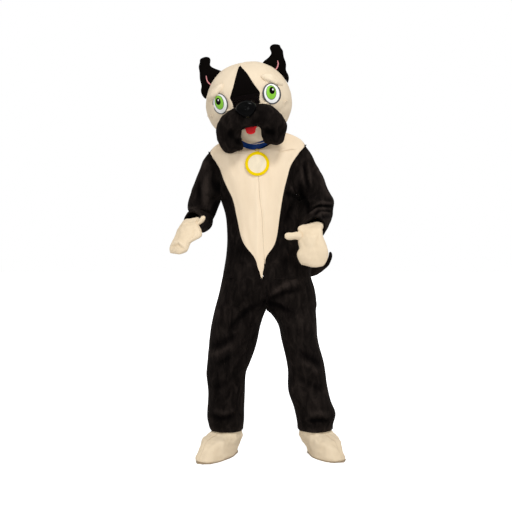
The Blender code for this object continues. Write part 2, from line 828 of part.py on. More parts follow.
FOOT_SLICES = [
    FootSlice(96, 67, 96, 65, 2),
    FootSlice(84, 73, 146, 72, 6),
    FootSlice(66, 72, 174, 70, 7),
    FootSlice(46, 72, 192, 68, 8),
    FootSlice(26, 74, 209, 69, 9),
    FootSlice(11, 74, 218, 69, 9),
    FootSlice(SOLE + SEAM, 72, 215, 66, 9),
]
FOOT_TURNED_OUT = {LEFT: math.radians(27), RIGHT: math.radians(29)}
TOE_SHARES = {LEFT: 1.0, RIGHT: 0.88}  # the right-hand toes are pushed back a little
FOOT_FULLNESS = 0.74  # power of the slices' oval: 1 is an ellipse, less is squarer at the toes
FOOT_SIDES = 20
TUCKED = [HEM + 22, HEM]  # levels of the ankle inside the trouser hem
HEM_GAP = 3.8
WELT = 1.5  # how far the sole stands out past the upper


def ankle_ring(side, level):
    """A ring just inside the trouser leg, from the inseam round the front."""
    surface = suit_surface(side)
    ring = []
    for u in steps(0, 2, FOOT_SIDES)[:-1]:
        level_normal = normal_of(surface, u, level) * -side
        ring.append(surface(u, level) - level_normal * (PLUSH + HEM_GAP))
    return ring


def fuller(share):
    """A signed share of an oval's reach, raised so that the oval is squarer."""
    return math.copysign(abs(share) ** FOOT_FULLNESS, share)


def foot_ring(side, foot, height, spread=0.0):
    """A level ring of the foot cover, spread wider all round by spread."""
    turned = FOOT_TURNED_OUT[side]
    forward = Vector((side * math.sin(turned), -math.cos(turned), 0))
    outward = Vector((side * math.cos(turned), math.sin(turned), 0))
    ankle = LEGS[side][-1]
    centre = Vector((ankle.centre + side * foot.outward, ankle.set_back, FLOOR + height))
    ring = []
    for turn in steps(0, TURN, FOOT_SIDES)[:-1]:
        aim = Vector((-side * math.cos(turn), -math.sin(turn), 0))
        ahead = aim.dot(forward)
        aside = aim.dot(outward)
        reach = foot.toe * TOE_SHARES[side] if ahead > 0 else foot.heel
        along = forward * fuller(ahead) * (reach + spread)
        ring.append(centre + along + outward * fuller(aside) * (foot.half_width + spread))
    return ring


def cut_out(rings, first, count):
    """Columns first to first + count of closed rings, half a seam short at both edges."""
    rows = []
    for ring in rings:
        row = [ring[(first + step) % len(ring)] for step in range(count + 1)]
        row[0] = row[0] + (row[1] - row[0]).normalized() * SEAM / 2
        row[-1] = row[-1] + (row[-2] - row[-1]).normalized() * SEAM / 2
        rows.append(row)
    return rows


def add_foot_covers():
    """Inner and outer uppers sewn along the instep and heel, and a sole under each."""
    for side, name in SIDE_NAMES.items():
        rings = [ankle_ring(side, level) for level in TUCKED]
        rings += [foot_ring(side, foot, foot.height) for foot in FOOT_SLICES]
        centres = [sum(ring, Vector()) / FOOT_SIDES for ring in rings]
        inner = inward(rings, ring_normals(rings, centres), PLUSH)
        inner[-1] = [Vector((point.x, point.y, rings[-1][0].z)) for point in inner[-1]]
        toe = round(FOOT_SIDES * (math.pi / 2 + FOOT_TURNED_OUT[side]) / TURN)
        half = FOOT_SIDES // 2
        for piece, first in (("outer", toe), ("inner", toe + half)):
            add_wall(
                f"foot_{piece}_{name}",
                CREAM_PLUSH,
                cut_out(rings, first, half),
                cut_out(inner, first, half),
            )
        welt = [foot_ring(side, FOOT_SLICES[-1], height, WELT) for height in (SOLE, 0)]
        add_solid(f"foot_sole_{name}", SOLE_VINYL, welt)


# ---------------------------------------------------------------- tail


TAIL = [
    Slice(52, 0, -566, 17, 17),
    Slice(54, 168, -572, 16, 16),
    Slice(72, 190, -584, 15, 15),
    Slice(110, 200, -600, 15, 15),
    Slice(160, 202, -612, 14.5, 14.5),
    Slice(210, 196, -612, 14, 14),
    Slice(258, 186, -601, 13.5, 13.5),
    Slice(302, 174, -582, 12.5, 12.5),
    Slice(334, 162, -558, 11.5, 11.5),
    Slice(351, 154, -530, 10, 10),
    Slice(353, 150, -508, 7, 7),
    Slice(352, 149, -501, 3, 3),
]
TAIL_GAP = 0.6
TAIL_SIDES = 10


def seat_depth(x, z):
    """y of the back of the jumpsuit at x and z, near the centre back seam."""
    ring = between(TORSO, z)
    half_width = ring.half_width - ring.split
    side = RIGHT if x > ring.centre else LEFT
    share = (x - ring.centre - side * ring.split) / half_width
    return ring.back * math.sqrt(max(0.0, 1 - share * share))


def add_tail():
    rings = oval_rings(TAIL, Vector((1, 0, 0)), TAIL_SIDES)
    root = TAIL[0]
    rings[0] = []
    for turn in steps(0, TURN, TAIL_SIDES)[:-1]:
        x = root.x + root.half_width * math.cos(turn)
        z = root.z - root.half_width * math.sin(turn)
        rings[0].append(Vector((x, seat_depth(x, z) + TAIL_GAP, z)))
    add_solid("tail", BLACK_PLUSH, rings)


# ---------------------------------------------------------------- head


HEAD_AT = Vector((-37, -20, 200))
HEAD_ROLL = math.radians(-10)
HEAD_YAW = math.radians(-4.5)
HEAD_PLACE = (
    Matrix.Translation(HEAD_AT)
    @ Matrix.Rotation(HEAD_ROLL, 4, "Y")
    @ Matrix.Rotation(HEAD_YAW, 4, "Z")
)
HALF_BREADTH, HALF_LENGTH, HALF_HEIGHT = 198.0, 190.0, 190.0
CROWN = math.radians(1.0)
OPENING_HEIGHT = -124.0  # of the head's lower edge, below the head's own centre
LANDING = 0.9  # clear gap under what lies on the faceted head


def placed(point):
    """A point of the head's own frame, in the costume's."""
    return HEAD_PLACE @ point


def head_shell(turn, tilt):
    """The head's surface: turn from the face towards +X and tilt down from the crown."""
    return placed(
        Vector(
            (
                HALF_BREADTH * math.sin(tilt) * math.sin(turn),
                -HALF_LENGTH * math.sin(tilt) * math.cos(turn),
                HALF_HEIGHT * math.cos(tilt),
            )
        )
    )


def tilt_at(height):
    """The tilt at which the head's surface is at this height over its centre."""
    return math.acos(height / HALF_HEIGHT)


def turn_at(x, height):
    """The turn at which the head's surface is x to the side, at this height."""
    return math.asin(x / HALF_BREADTH / math.sin(tilt_at(height)))


class BlazeEdge(NamedTuple):
    """Half-width of the black blaze, and of the mesh below it, at a height on the head."""

    height: float
    half_width: float


BLAZE = [
    BlazeEdge(161, 2),
    BlazeEdge(120, 24),
    BlazeEdge(70, 43),
    BlazeEdge(17, 68),
]
MESH_BOTTOM = BlazeEdge(-34, 56)
CROWN_HEIGHTS = [HALF_HEIGHT * math.cos(CROWN), 186, 175]
BLAZE_HEIGHTS = [161, 142, 120, 95, 70, 44, 17]
MESH_HEIGHTS = [2, -16, -34]
CHEEK_HEIGHTS = [-37, -60, -86, -112, OPENING_HEIGHT]


def blaze_turn(height):
    """Turn of the blaze's or the mesh's edge at a height."""
    if height > BLAZE[0].height or height < MESH_BOTTOM.height:
        return 0.0
    if height >= BLAZE[-1].height:
        return turn_at(between(BLAZE, height).half_width, height)
    share = (BLAZE[-1].height - height) / (BLAZE[-1].height - MESH_BOTTOM.height)
    half_width = BLAZE[-1].half_width + (MESH_BOTTOM.half_width - BLAZE[-1].half_width) * share
    return turn_at(half_width, height)


def head_grids(heights, edges, columns):
    """Outer and inner points of a panel of the head; edges(height) gives its two turns."""
    outer, inner = [], []
    for place, height in enumerate(heights):
        tilt = tilt_at(height)
        nudge = SEAM / 2 / HALF_HEIGHT
        if place == 0:
            tilt += nudge
        elif place == len(heights) - 1:
            tilt -= nudge
        first, last = edges(height)
        trim = SEAM / 2 / (HALF_LENGTH * math.sin(tilt))
        turns = steps(first + trim, last - trim, columns)
        outer.append([head_shell(turn, tilt) for turn in turns])
        shrink = 1 - HEAD_WALL / HALF_LENGTH
        inner.append([HEAD_AT + (point - HEAD_AT) * shrink for point in outer[-1]])
    return outer, inner


def add_head_shell():
    """Cheeks and brow on each side, the black blaze, the vision mesh and the back halves."""
    quarter = math.pi / 2
    all_heights = CROWN_HEIGHTS + BLAZE_HEIGHTS + MESH_HEIGHTS + CHEEK_HEIGHTS

    def both(height):
        return -blaze_turn(height), blaze_turn(height)

    pieces = [
        ("head_face_left", CREAM_PLUSH, all_heights, lambda h: (-quarter, -blaze_turn(h)), 6),
        ("head_face_right", CREAM_PLUSH, all_heights, lambda h: (blaze_turn(h), quarter), 6),
        ("head_back_left", CREAM_PLUSH, all_heights, lambda h: (math.pi, 3 * quarter), 6),
        ("head_back_right", CREAM_PLUSH, all_heights, lambda h: (quarter, math.pi), 6),
        ("head_blaze", BLACK_PLUSH, BLAZE_HEIGHTS, both, 3),
        ("head_vision_mesh", VISION_MESH, [BLAZE_HEIGHTS[-1], *MESH_HEIGHTS], both, 3),
    ]
    for name, finish, heights, edges, columns in pieces:
        add_wall(name, finish, *head_grids(heights, edges, columns))


def clear_of_head(point, room=LANDING):
    """A point of the head's own frame, moved straight out to its surface if it is inside."""
    spread = Vector((point.x / HALF_BREADTH, point.y / HALF_LENGTH, point.z / HALF_HEIGHT)).length
    least = 1 + room / HALF_LENGTH
    return point * (least / spread) if spread < least else point


def on_face(x, height, lift):
    """A point of the head's own frame over the front of the shell, lifted square to it."""
    depth = math.sqrt(1 - (x / HALF_BREADTH) ** 2 - (height / HALF_HEIGHT) ** 2)
    point = Vector((x, -HALF_LENGTH * depth, height))
    normal = Vector((x / HALF_BREADTH**2, point.y / HALF_LENGTH**2, height / HALF_HEIGHT**2))
    return point + normal.normalized() * lift


class Patch(NamedTuple):
    """A leaf-shaped piece on the face: its middle, half-sizes, lean and how it stands up."""

    x: float
    height: float
    half_long: float
    half_wide: float
    lean: float  # degrees, of its long way from level
    edge: float  # thickness at the edge
    crown: float  # more thickness in the middle
    point: float  # 0 for an oval, 1 for pointed ends


PATCH_SIDES = 16
EYES = {LEFT: Patch(-117, 0, 48, 40, 98, 3, 1, 0.1), RIGHT: Patch(114, 3, 48, 40, 84, 3, 1, 0.0)}
BROWS = {
    LEFT: Patch(-134, 66, 44, 15, 28, 2, 13, 0.5),
    RIGHT: Patch(128, 70, 44, 15, -24, 2, 13, 0.5),
}


def patch_rings(patch, low=LANDING):
    """Rings of a piece that lies on the face, from the middle underneath to the middle on top."""
    lean = math.radians(patch.lean)
    long_way = Vector((math.cos(lean), math.sin(lean)))
    wide_way = Vector((-math.sin(lean), math.cos(lean)))
    rings = []
    layers = [(share, low) for share in (0.1, 0.55, 1.0)]
    layers += [
        (share, low + patch.edge + patch.crown * math.sqrt(1 - share * share))
        for share in (1.0, 0.85, 0.55, 0.1)
    ]
    for share, lift in layers:
        ring = []
        for turn in steps(0, TURN, PATCH_SIDES)[:-1]:
            narrow = 1 - patch.point * abs(math.cos(turn)) ** 3
            offset = long_way * patch.half_long * math.cos(turn)
            offset += wide_way * patch.half_wide * math.sin(turn) * narrow
            place = Vector((patch.x, patch.height)) + offset * share
            ring.append(placed(on_face(place.x, place.y, lift)))
        rings.append(ring)
    return rings


def add_eyes():
    for side, name in SIDE_NAMES.items():
        add_solid(f"eye_{name}", EYE_VINYL, patch_rings(EYES[side]))
        add_solid(f"brow_{name}", CREAM_PLUSH, patch_rings(BROWS[side]))


MUZZLE_HALF = [  # from the middle out to the jowl
    Slice(0, -200, -76, 48, 50),
    Slice(30, -199, -78, 49, 50),
    Slice(57, -194, -85, 52, 50),
    Slice(82, -184, -101, 55, 50),
    Slice(98, -172, -124, 57, 50),
    Slice(103, -160, -150, 56, 50),
    Slice(98, -152, -176, 52, 48),
    Slice(90, -149, -195, 45, 42),
    Slice(83, -148, -208, 33, 30),
    Slice(79, -148, -216, 16, 14),
]
MUZZLE_SIDES = 16


def add_muzzle():
    """The stuffed roll that arches over the mouth and hangs in two jowls."""
    rows = [row._replace(x=-row.x) for row in MUZZLE_HALF[:0:-1]] + MUZZLE_HALF
    rings = oval_rings(rows, Vector((-1, 0, 0)), MUZZLE_SIDES)
    rings = [[placed(clear_of_head(point)) for point in ring] for ring in rings]
    add_solid("muzzle", BLACK_PLUSH, rings)


NOSE_AT = Vector((0, -232, -48))
NOSE_GAP = 3.2  # over the muzzle's flat facets
NOSE_DEPTH = 44.0
NOSE_HALF_WIDTH = 46.0
NOSE_RISE = 33.15
NOSE_DROP = 44.0
NOSE_TAPER = 0.35  # how much narrower it is at its lower end
NOSE_LAYERS = [(0.2, 0), (0.8, 0), (1.0, 0.35), (0.93, 0.65), (0.7, 0.9), (0.25, 1)]


def clear_of_muzzle(point):
    """A point near the middle of the muzzle, moved out to its surface if it is inside."""
    row = MUZZLE_HALF[0]
    for here, there in zip(MUZZLE_HALF, MUZZLE_HALF[1:]):
        if here.x <= abs(point.x) <= there.x:
            share = (abs(point.x) - here.x) / (there.x - here.x)
            row = Slice(*(a + (b - a) * share for a, b in zip(here, there)))
    offset = Vector(((point.y - row.y) / row.half_thickness, (point.z - row.z) / row.half_width))
    least = 1 + NOSE_GAP / row.half_width
    if offset.length >= least:
        return point
    offset *= least / offset.length
    y = row.y + offset.x * row.half_thickness
    return Vector((point.x, y, row.z + offset.y * row.half_width))


def add_nose():
    """A rounded triangle, point down, on the front of the muzzle."""
    rings = []
    for share, forward in NOSE_LAYERS:
        ring = []
        for turn in steps(0, TURN, PATCH_SIDES)[:-1]:
            rise = math.sin(turn)
            taper = 1.0 if rise > 0 else 1 - NOSE_TAPER * rise * rise
            x = NOSE_HALF_WIDTH * share * math.cos(turn) * taper
            z = (NOSE_RISE if rise > 0 else NOSE_DROP) * share * rise
            point = NOSE_AT + Vector((x, -NOSE_DEPTH * forward, z))
            ring.append(placed(clear_of_head(clear_of_muzzle(point))))
        rings.append(ring)
    add_solid("nose", NOSE_VINYL, rings)


TONGUE_HALF_WIDTH = 26.0
TONGUE_DROP = 34.0
TONGUE_THICK = 5.0
TONGUE_LEAN = 10.0  # how far its lower edge stands out
TONGUE_SIDE = [(1.0, 0.0), (0.97, 0.35), (0.8, 0.7), (0.45, 0.95), (0.0, 1.0)]
TONGUE_TOP = Vector((0, -176, -126))


def add_tongue():
    """A red half-disc that hangs under the middle of the muzzle."""
    outline = TONGUE_SIDE + [(-across, drop) for across, drop in TONGUE_SIDE[-2::-1]]
    rings = []
    for forward in (0.0, TONGUE_THICK):
        ring = []
        for across, drop in outline:
            lean = TONGUE_LEAN * drop
            offset = Vector((TONGUE_HALF_WIDTH * across, -forward - lean, -TONGUE_DROP * drop))
            ring.append(placed(TONGUE_TOP + offset))
        rings.append(ring)
    add_solid("tongue", RED_FELT, rings)


# ---------------------------------------------------------------- ears


EAR_OUTLINE = [  # from the head up round the tip and down the outer side, on +X
    (92, 162), (120, 184), (139, 203), (137, 222), (138, 236), (148, 244), (161, 242),
    (177, 226), (190, 200), (197, 170), (199, 142), (195, 117), (200, 98), (202, 76),
    (197, 60), (187, 53), (170, 73), (152, 106), (132, 130), (111, 149),
]
EAR_MIDDLE = Vector((166, 152))
EAR_BACK_OF_FACE = 6.0
EAR_HALF_DEPTH = 24.0
EAR_SHIFT = -7.0  # the left ear stands a little wider
EAR_SHARES = (1.0, 0.92, 0.7, 0.38, 0.05)  # of the way out to the outline
EAR_LANDING = 1.2
PINK_STEPS = (15.4, 19.6)
PINK_IN = 0.62
PINK_WIDE = 0.2
PINK_SWELL = 4.5  # steps of the outline over which the lining swells and narrows
LINING_LIFT = 0.8
LINING_THICK = 2.0
LINING_LANDING = 3.4


def ear_point(side, step, share, lift=0.0):
    """A point of the ear's front, share of the way out to its outline at this step."""
    low = EAR_OUTLINE[int(step) % len(EAR_OUTLINE)]
    high = EAR_OUTLINE[(int(step) + 1) % len(EAR_OUTLINE)]
    edge = Vector(low).lerp(Vector(high), step - int(step))
    place = EAR_MIDDLE + (edge - EAR_MIDDLE) * share
    bulge = EAR_HALF_DEPTH * math.sqrt(max(0.0, 1 - share * share))
    x = side * place.x + (EAR_SHIFT if side == LEFT else 0)
    return Vector((x, EAR_BACK_OF_FACE - bulge - lift, place.y))


def add_ears():
    """Stuffed ears over the seam between face and back, each with a slip of pink lining."""
    for side, name in SIDE_NAMES.items():
        fronts = [
            [ear_point(side, step, share) for step in range(len(EAR_OUTLINE))]
            for share in EAR_SHARES
        ]
        backs = [
            [Vector((point.x, 2 * EAR_BACK_OF_FACE - point.y, point.z)) for point in ring]
            for ring in fronts[:0:-1]
        ]
        rings = [
            [placed(clear_of_head(point, EAR_LANDING)) for point in ring]
            for ring in backs + fronts
        ]
        add_solid(f"ear_{name}", BLACK_PLUSH, rings)
        outer, inner = [], []
        for step in steps(*PINK_STEPS, 8):
            swell = math.sin(math.pi * (step - PINK_STEPS[0]) / PINK_SWELL)
            shares = (PINK_IN - PINK_WIDE * swell, PINK_IN)
            for grid, lift in ((outer, LINING_LIFT + LINING_THICK), (inner, LINING_LIFT)):
                points = [ear_point(side, step, share, lift) for share in steps(*shares, 2)]
                room = LINING_LANDING + lift
                grid.append([placed(clear_of_head(point, room)) for point in points])
        add_wall(f"ear_lining_{name}", PINK_PLUSH, outer, inner)


# ---------------------------------------------------------------- neck, collar and tag


NECK_SIDES = 28
COLLAR_HEIGHT = 30.0
COLLAR_THICK = 3.0
COLLAR_LIFT = 0.7
COLLAR_EASE = 0.5  # from the jumpsuit's neck edge out to the collar's inner face
COLLAR_ROWS = 3
NECK_TUCK = 7.0  # depth of the head's neck inside the collar
NECK_GATHERS = 14
GATHER_DEPTH = 3.0
NECK_SHARES = (0.0, 0.33, 0.66, 1.0)  # of the way from the head's brim to the collar
NECK_OVER = 6.0  # how far above the collar the cloth turns in
NECK_INSIDE = 3.5  # how far above the collar it is inside the collar's edge


def neck_ring(spread, rise):
    """A ring over the jumpsuit's neck edge, spread outwards and raised; it starts in front."""
    row = TORSO[0]
    ring = []
    for turn in steps(0, TURN, NECK_SIDES)[:-1]:
        depth = row.front if math.cos(turn) > 0 else row.back
        edge = Vector((row.half_width * math.sin(turn), -depth * math.cos(turn), 0))
        z = row.level + neck_drop(row, edge.y) + row.roll * edge.x + rise
        out = Vector((math.sin(turn), -math.cos(turn), 0)) * spread
        ring.append(edge + out + Vector((0, 0, z)))
    return ring


def add_collar():
    """The satin band that stands on the jumpsuit's neck edge."""
    rises = steps(COLLAR_LIFT + COLLAR_HEIGHT, COLLAR_LIFT, COLLAR_ROWS)
    outer = [neck_ring(COLLAR_EASE + COLLAR_THICK, rise) for rise in rises]
    inner = [neck_ring(COLLAR_EASE, rise) for rise in rises]
    add_wall("collar", BLUE_SATIN, outer, inner, closed=True)


def add_neck():
    """The gathered neck that hangs from the head's lower edge and tucks into the collar."""
    top = COLLAR_LIFT + COLLAR_HEIGHT
    drop = (PLUSH + 2 * SEAM) / HALF_HEIGHT
    edge_tilt = tilt_at(OPENING_HEIGHT) + drop
    brim = [head_shell(turn, edge_tilt) for turn in steps(0, TURN, NECK_SIDES)[:-1]]
    over = neck_ring(COLLAR_THICK + 2, top + NECK_OVER)
    outer = []
    for share in NECK_SHARES:
        ring = []
        for place, (high, low) in enumerate(zip(brim, over)):
            wave = math.cos(TURN * place * NECK_GATHERS / NECK_SIDES) * math.sin(math.pi * share)
            out = Vector((low.x, low.y, 0)).normalized()
            ring.append(high.lerp(low, share) + out * wave * GATHER_DEPTH)
        outer.append(ring)
    outer.append(neck_ring(-COLLAR_EASE, top + NECK_INSIDE))
    outer.append(neck_ring(-COLLAR_EASE, top - NECK_TUCK))
    centres = [sum(ring, Vector()) / NECK_SIDES for ring in outer]
    inner = inward(outer, ring_normals(outer, centres), PLUSH)
    add_wall("head_neck", CREAM_PLUSH, outer, inner, closed=True)


TAG_AT = Vector((1, -135.0, -89))
TAG_RADIUS = 53.0
TAG_RIM = 10.0
TAG_THICK = 4.0
TAG_LEAN = math.radians(4)  # its top leans back on the chest
TAG_SIDES = 32
FACE_SHARE = 0.6  # thickness of its face as a share of the rim's
LINK_SIDES = 14
WIRE_SIDES = 6
LINK_RADIUS = 12.2
LINK_THICK = 1.6
LINK_LEAN = math.radians(42)


def add_turned(name, finish, profile, place, sides):
    """A ring turned about the world's Y way at place, from a closed profile of (radius, y)."""
    rings = []
    for turn in steps(0, TURN, sides)[:-1]:
        aim = Vector((math.sin(turn), 0, math.cos(turn)))
        rings.append([place @ (aim * radius + Vector((0, depth, 0))) for radius, depth in profile])
    mesh = bmesh.new()
    grid = [[mesh.verts.new(point) for point in ring] for ring in rings]
    skin(mesh, grid + [grid[0]], True)
    return add_object(name, finish, mesh)


def add_tag():
    """A round tag on the chest: a yellow rim, a bare face and the link to the collar."""
    place = Matrix.Translation(TAG_AT) @ Matrix.Rotation(-TAG_LEAN, 4, "X")
    inner_radius = TAG_RADIUS - TAG_RIM
    rim = [(TAG_RADIUS, 0), (inner_radius, 0), (inner_radius, -TAG_THICK), (TAG_RADIUS, -TAG_THICK)]
    add_turned("tag_rim", TAG_YELLOW, rim, place, TAG_SIDES)
    face = []
    for depth in (0.0, -TAG_THICK * FACE_SHARE):
        turns = steps(0, TURN, TAG_SIDES)[:-1]
        radius = inner_radius - SEAM
        face.append(
            [place @ Vector((math.sin(t) * radius, depth, math.cos(t) * radius)) for t in turns]
        )
    add_solid("tag_face", TAG_CREAM, face)
    rise = Matrix.Translation(Vector((0, 0, TAG_RADIUS + LINK_THICK + SEAM)))
    leant = Matrix.Rotation(-LINK_LEAN, 4, "X")
    link_at = rise @ leant @ Matrix.Translation(Vector((0, 0, LINK_RADIUS)))
    profile = [
        (LINK_RADIUS - LINK_THICK * math.cos(t), LINK_THICK * math.sin(t) - LINK_THICK)
        for t in steps(0, TURN, WIRE_SIDES)[:-1]
    ]
    add_turned("tag_link", TAG_YELLOW, profile, place @ link_at, LINK_SIDES)


def main():
    for obj in list(bpy.data.objects):
        bpy.data.objects.remove(obj, do_unlink=True)
    collection = bpy.data.collections.new(PART)
    bpy.context.scene.collection.children.link(collection)
    add_jumpsuit()
    add_sleeves()
    add_mitts()
    add_foot_covers()
    add_tail()
    add_head_shell()
    add_muzzle()
    add_nose()
    add_tongue()
    add_eyes()
    add_ears()
    add_collar()
    add_neck()
    add_tag()


main()
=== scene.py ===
"""A worn dog mascot costume: plush jumpsuit, padded head, mitts, foot covers, tail, collar and tag."""

import logging
import math
from collections.abc import Sequence
from dataclasses import dataclass
from enum import Enum

import bmesh
import bpy
import numpy as np
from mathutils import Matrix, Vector, noise
from mathutils.bvhtree import BVHTree
from mathutils.kdtree import KDTree


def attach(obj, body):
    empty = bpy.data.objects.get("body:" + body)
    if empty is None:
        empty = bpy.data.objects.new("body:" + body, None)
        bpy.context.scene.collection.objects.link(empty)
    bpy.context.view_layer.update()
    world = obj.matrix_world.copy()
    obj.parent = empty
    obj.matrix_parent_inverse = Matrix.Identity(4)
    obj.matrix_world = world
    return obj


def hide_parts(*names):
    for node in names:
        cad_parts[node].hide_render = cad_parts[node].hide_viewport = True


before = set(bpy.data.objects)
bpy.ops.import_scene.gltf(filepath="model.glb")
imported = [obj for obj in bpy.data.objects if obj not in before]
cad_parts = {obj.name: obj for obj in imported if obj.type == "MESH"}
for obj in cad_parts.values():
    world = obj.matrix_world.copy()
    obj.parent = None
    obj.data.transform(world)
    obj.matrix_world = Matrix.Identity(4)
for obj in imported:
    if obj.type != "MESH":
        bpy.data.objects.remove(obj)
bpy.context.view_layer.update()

LOG = logging.getLogger("costume")
MM = 0.001
# Name of the attribute that carries the folds' rise into the pile's colour, as painted shade in troughs and
# painted light on ridges.
FOLD_SHADE_MARK = "fold"

# Reading the coarse forms: distances in metres and angles in degrees.
WELD = 1e-5
PAIRING_ANGLE = 50.0
SHARP_ANGLE = 52.0
PARTING_FOLDS = (56, 45, 34, 25)
RAY_START = -1.0

# Least area of a wall's inner face, as a share of its outer face.
INNER_SHARE = 0.75

# Rounds of fitting, and times that a form is subdivided.
FITTING_ROUNDS = 4
SUIT_LEVELS = 3
SMALL_LEVELS = 2

# Walls and seams in mm.
PLUSH_WALL = 2.2
HEAD_WALL = 6.6
SEAM_DIP = 1.1
SEAM_REACH = 14.0
SEAM_CLOSING = 0.13

# How far in the two rows of a seam's allowance go, as shares of its width.
ALLOWANCE_STEPS = (0.35, 1.0)

# The rise in mm that gives the pile's colour its full painted shade in a trough and full painted light on a
# ridge, and the share of it that slow unevenness has.
FULL_SHADE_RISE = 5.0
SLOW_SHADE = 0.22

# How fast a fold fades where the cloth turns from its side, and its share where the cloth faces sideways.
SIDE_SLOPE = 2.0
SIDE_SPILL = 0.25

# Share of its rise that a fold has at its ends, and how fast it gains the rest.
END_RISE = 0.25
END_FADE = 0.6

# Height of the slow waves under gathers, as a share of the quick ones, and how far these drift in radians.
SLOW_WAVE = 0.5
WAVE_DRIFT = 1.3

Colour = tuple[float, float, float]
Spot = tuple[float, float]
Line = tuple[Spot, ...]


# ---------------------------------------------------------------- shader groups


def new_group(name: str, inputs: dict[str, str], outputs: dict[str, str]) -> bpy.types.ShaderNodeTree:
    """Start an empty shader node group.

    Args:
        name: Name of the group.
        inputs: Socket types by input name.
        outputs: Socket types by output name.

    Returns:
        The group's node tree, with its sockets made.
    """
    tree = bpy.data.node_groups.new(name, "ShaderNodeTree")
    for direction, sockets in (("INPUT", inputs), ("OUTPUT", outputs)):
        for label, kind in sockets.items():
            tree.interface.new_socket(label, in_out=direction, socket_type=f"NodeSocket{kind}")
    return tree


def set_inputs(node: bpy.types.Node, values: dict[str | int, object]) -> None:
    """Set a node's inputs, by their names or numbers."""
    for key, value in values.items():
        node.inputs[key].default_value = value


def add_node(
    tree: bpy.types.NodeTree, kind: str, values: dict[str | int, object] | None = None, **settings: object
) -> bpy.types.Node:
    """Add a node, then set its properties and inputs.

    Args:
        tree: The node tree.
        kind: Node class without its ShaderNode prefix, or a whole class name.
        values: Values of its inputs, by their names or numbers.
        settings: Properties to set on the node.

    Returns:
        The new node.
    """
    made = tree.nodes.new(kind if kind.startswith("NodeGroup") else f"ShaderNode{kind}")
    for key, value in settings.items():
        setattr(made, key, value)
    set_inputs(made, values or {})
    return made


def pile_group() -> bpy.types.ShaderNodeTree:
    """Make the group for short plush, with single tufts and patches where the nap lies another way.

    Returns:
        The group, which is built only the first time.
    """
    known = bpy.data.node_groups.get("short_pile")
    if known:
        return known
    tree = new_group(
        "short_pile",
        {"Vector": "Vector", "Tufts per Metre": "Float", "Patches per Metre": "Float"},
        {"Tufts": "Float", "Nap": "Float"},
    )
    enter = add_node(tree, "NodeGroupInput")
    leave = add_node(tree, "NodeGroupOutput")
    tufts = add_node(tree, "TexNoise", {"Detail": 4.0, "Roughness": 0.65})
    stretch = add_node(tree, "Mapping", {"Scale": (1.0, 1.0, 0.42)})
    patches = add_node(tree, "TexNoise", {"Detail": 5.0, "Roughness": 0.62, "Distortion": 0.7})
    spread = add_node(tree, "MapRange", {"From Min": 0.34, "From Max": 0.68})
    links = tree.links
    links.new(enter.outputs["Vector"], tufts.inputs["Vector"])
    links.new(enter.outputs["Tufts per Metre"], tufts.inputs["Scale"])
    links.new(enter.outputs["Vector"], stretch.inputs["Vector"])
    links.new(stretch.outputs["Vector"], patches.inputs["Vector"])
    links.new(enter.outputs["Patches per Metre"], patches.inputs["Scale"])
    links.new(patches.outputs[0], spread.inputs["Value"])
    links.new(tufts.outputs[0], leave.inputs["Tufts"])
    links.new(spread.outputs["Result"], leave.inputs["Nap"])
    return tree


def weave_group() -> bpy.types.ShaderNodeTree:
    """Make the group for a plain weave, with crossing threads and a slow change of tone.

    Returns:
        The group, which is built only the first time.
    """
    known = bpy.data.node_groups.get("plain_weave")
    if known:
        return known
    tree = new_group(
        "plain_weave",
        {"Vector": "Vector", "Threads per Metre": "Float"},
        {"Threads": "Float", "Tone": "Float"},
    )
    enter = add_node(tree, "NodeGroupInput")
    leave = add_node(tree, "NodeGroupOutput")
    bands = []
    for direction in ("X", "Z"):
        wave = add_node(tree, "TexWave", {"Distortion": 0.4}, bands_direction=direction)
        tree.links.new(enter.outputs["Vector"], wave.inputs["Vector"])
        tree.links.new(enter.outputs["Threads per Metre"], wave.inputs["Scale"])
        bands.append(wave)
    cross = add_node(tree, "Math", operation="MULTIPLY")
    tone = add_node(tree, "TexNoise", {"Scale": 60.0, "Detail": 3.0})
    tree.links.new(bands[0].outputs["Fac"], cross.inputs[0])
    tree.links.new(bands[1].outputs["Fac"], cross.inputs[1])
    tree.links.new(enter.outputs["Vector"], tone.inputs["Vector"])
    tree.links.new(cross.outputs[0], leave.inputs["Threads"])
    tree.links.new(tone.outputs[0], leave.inputs["Tone"])
    return tree


# ---------------------------------------------------------------- finishes


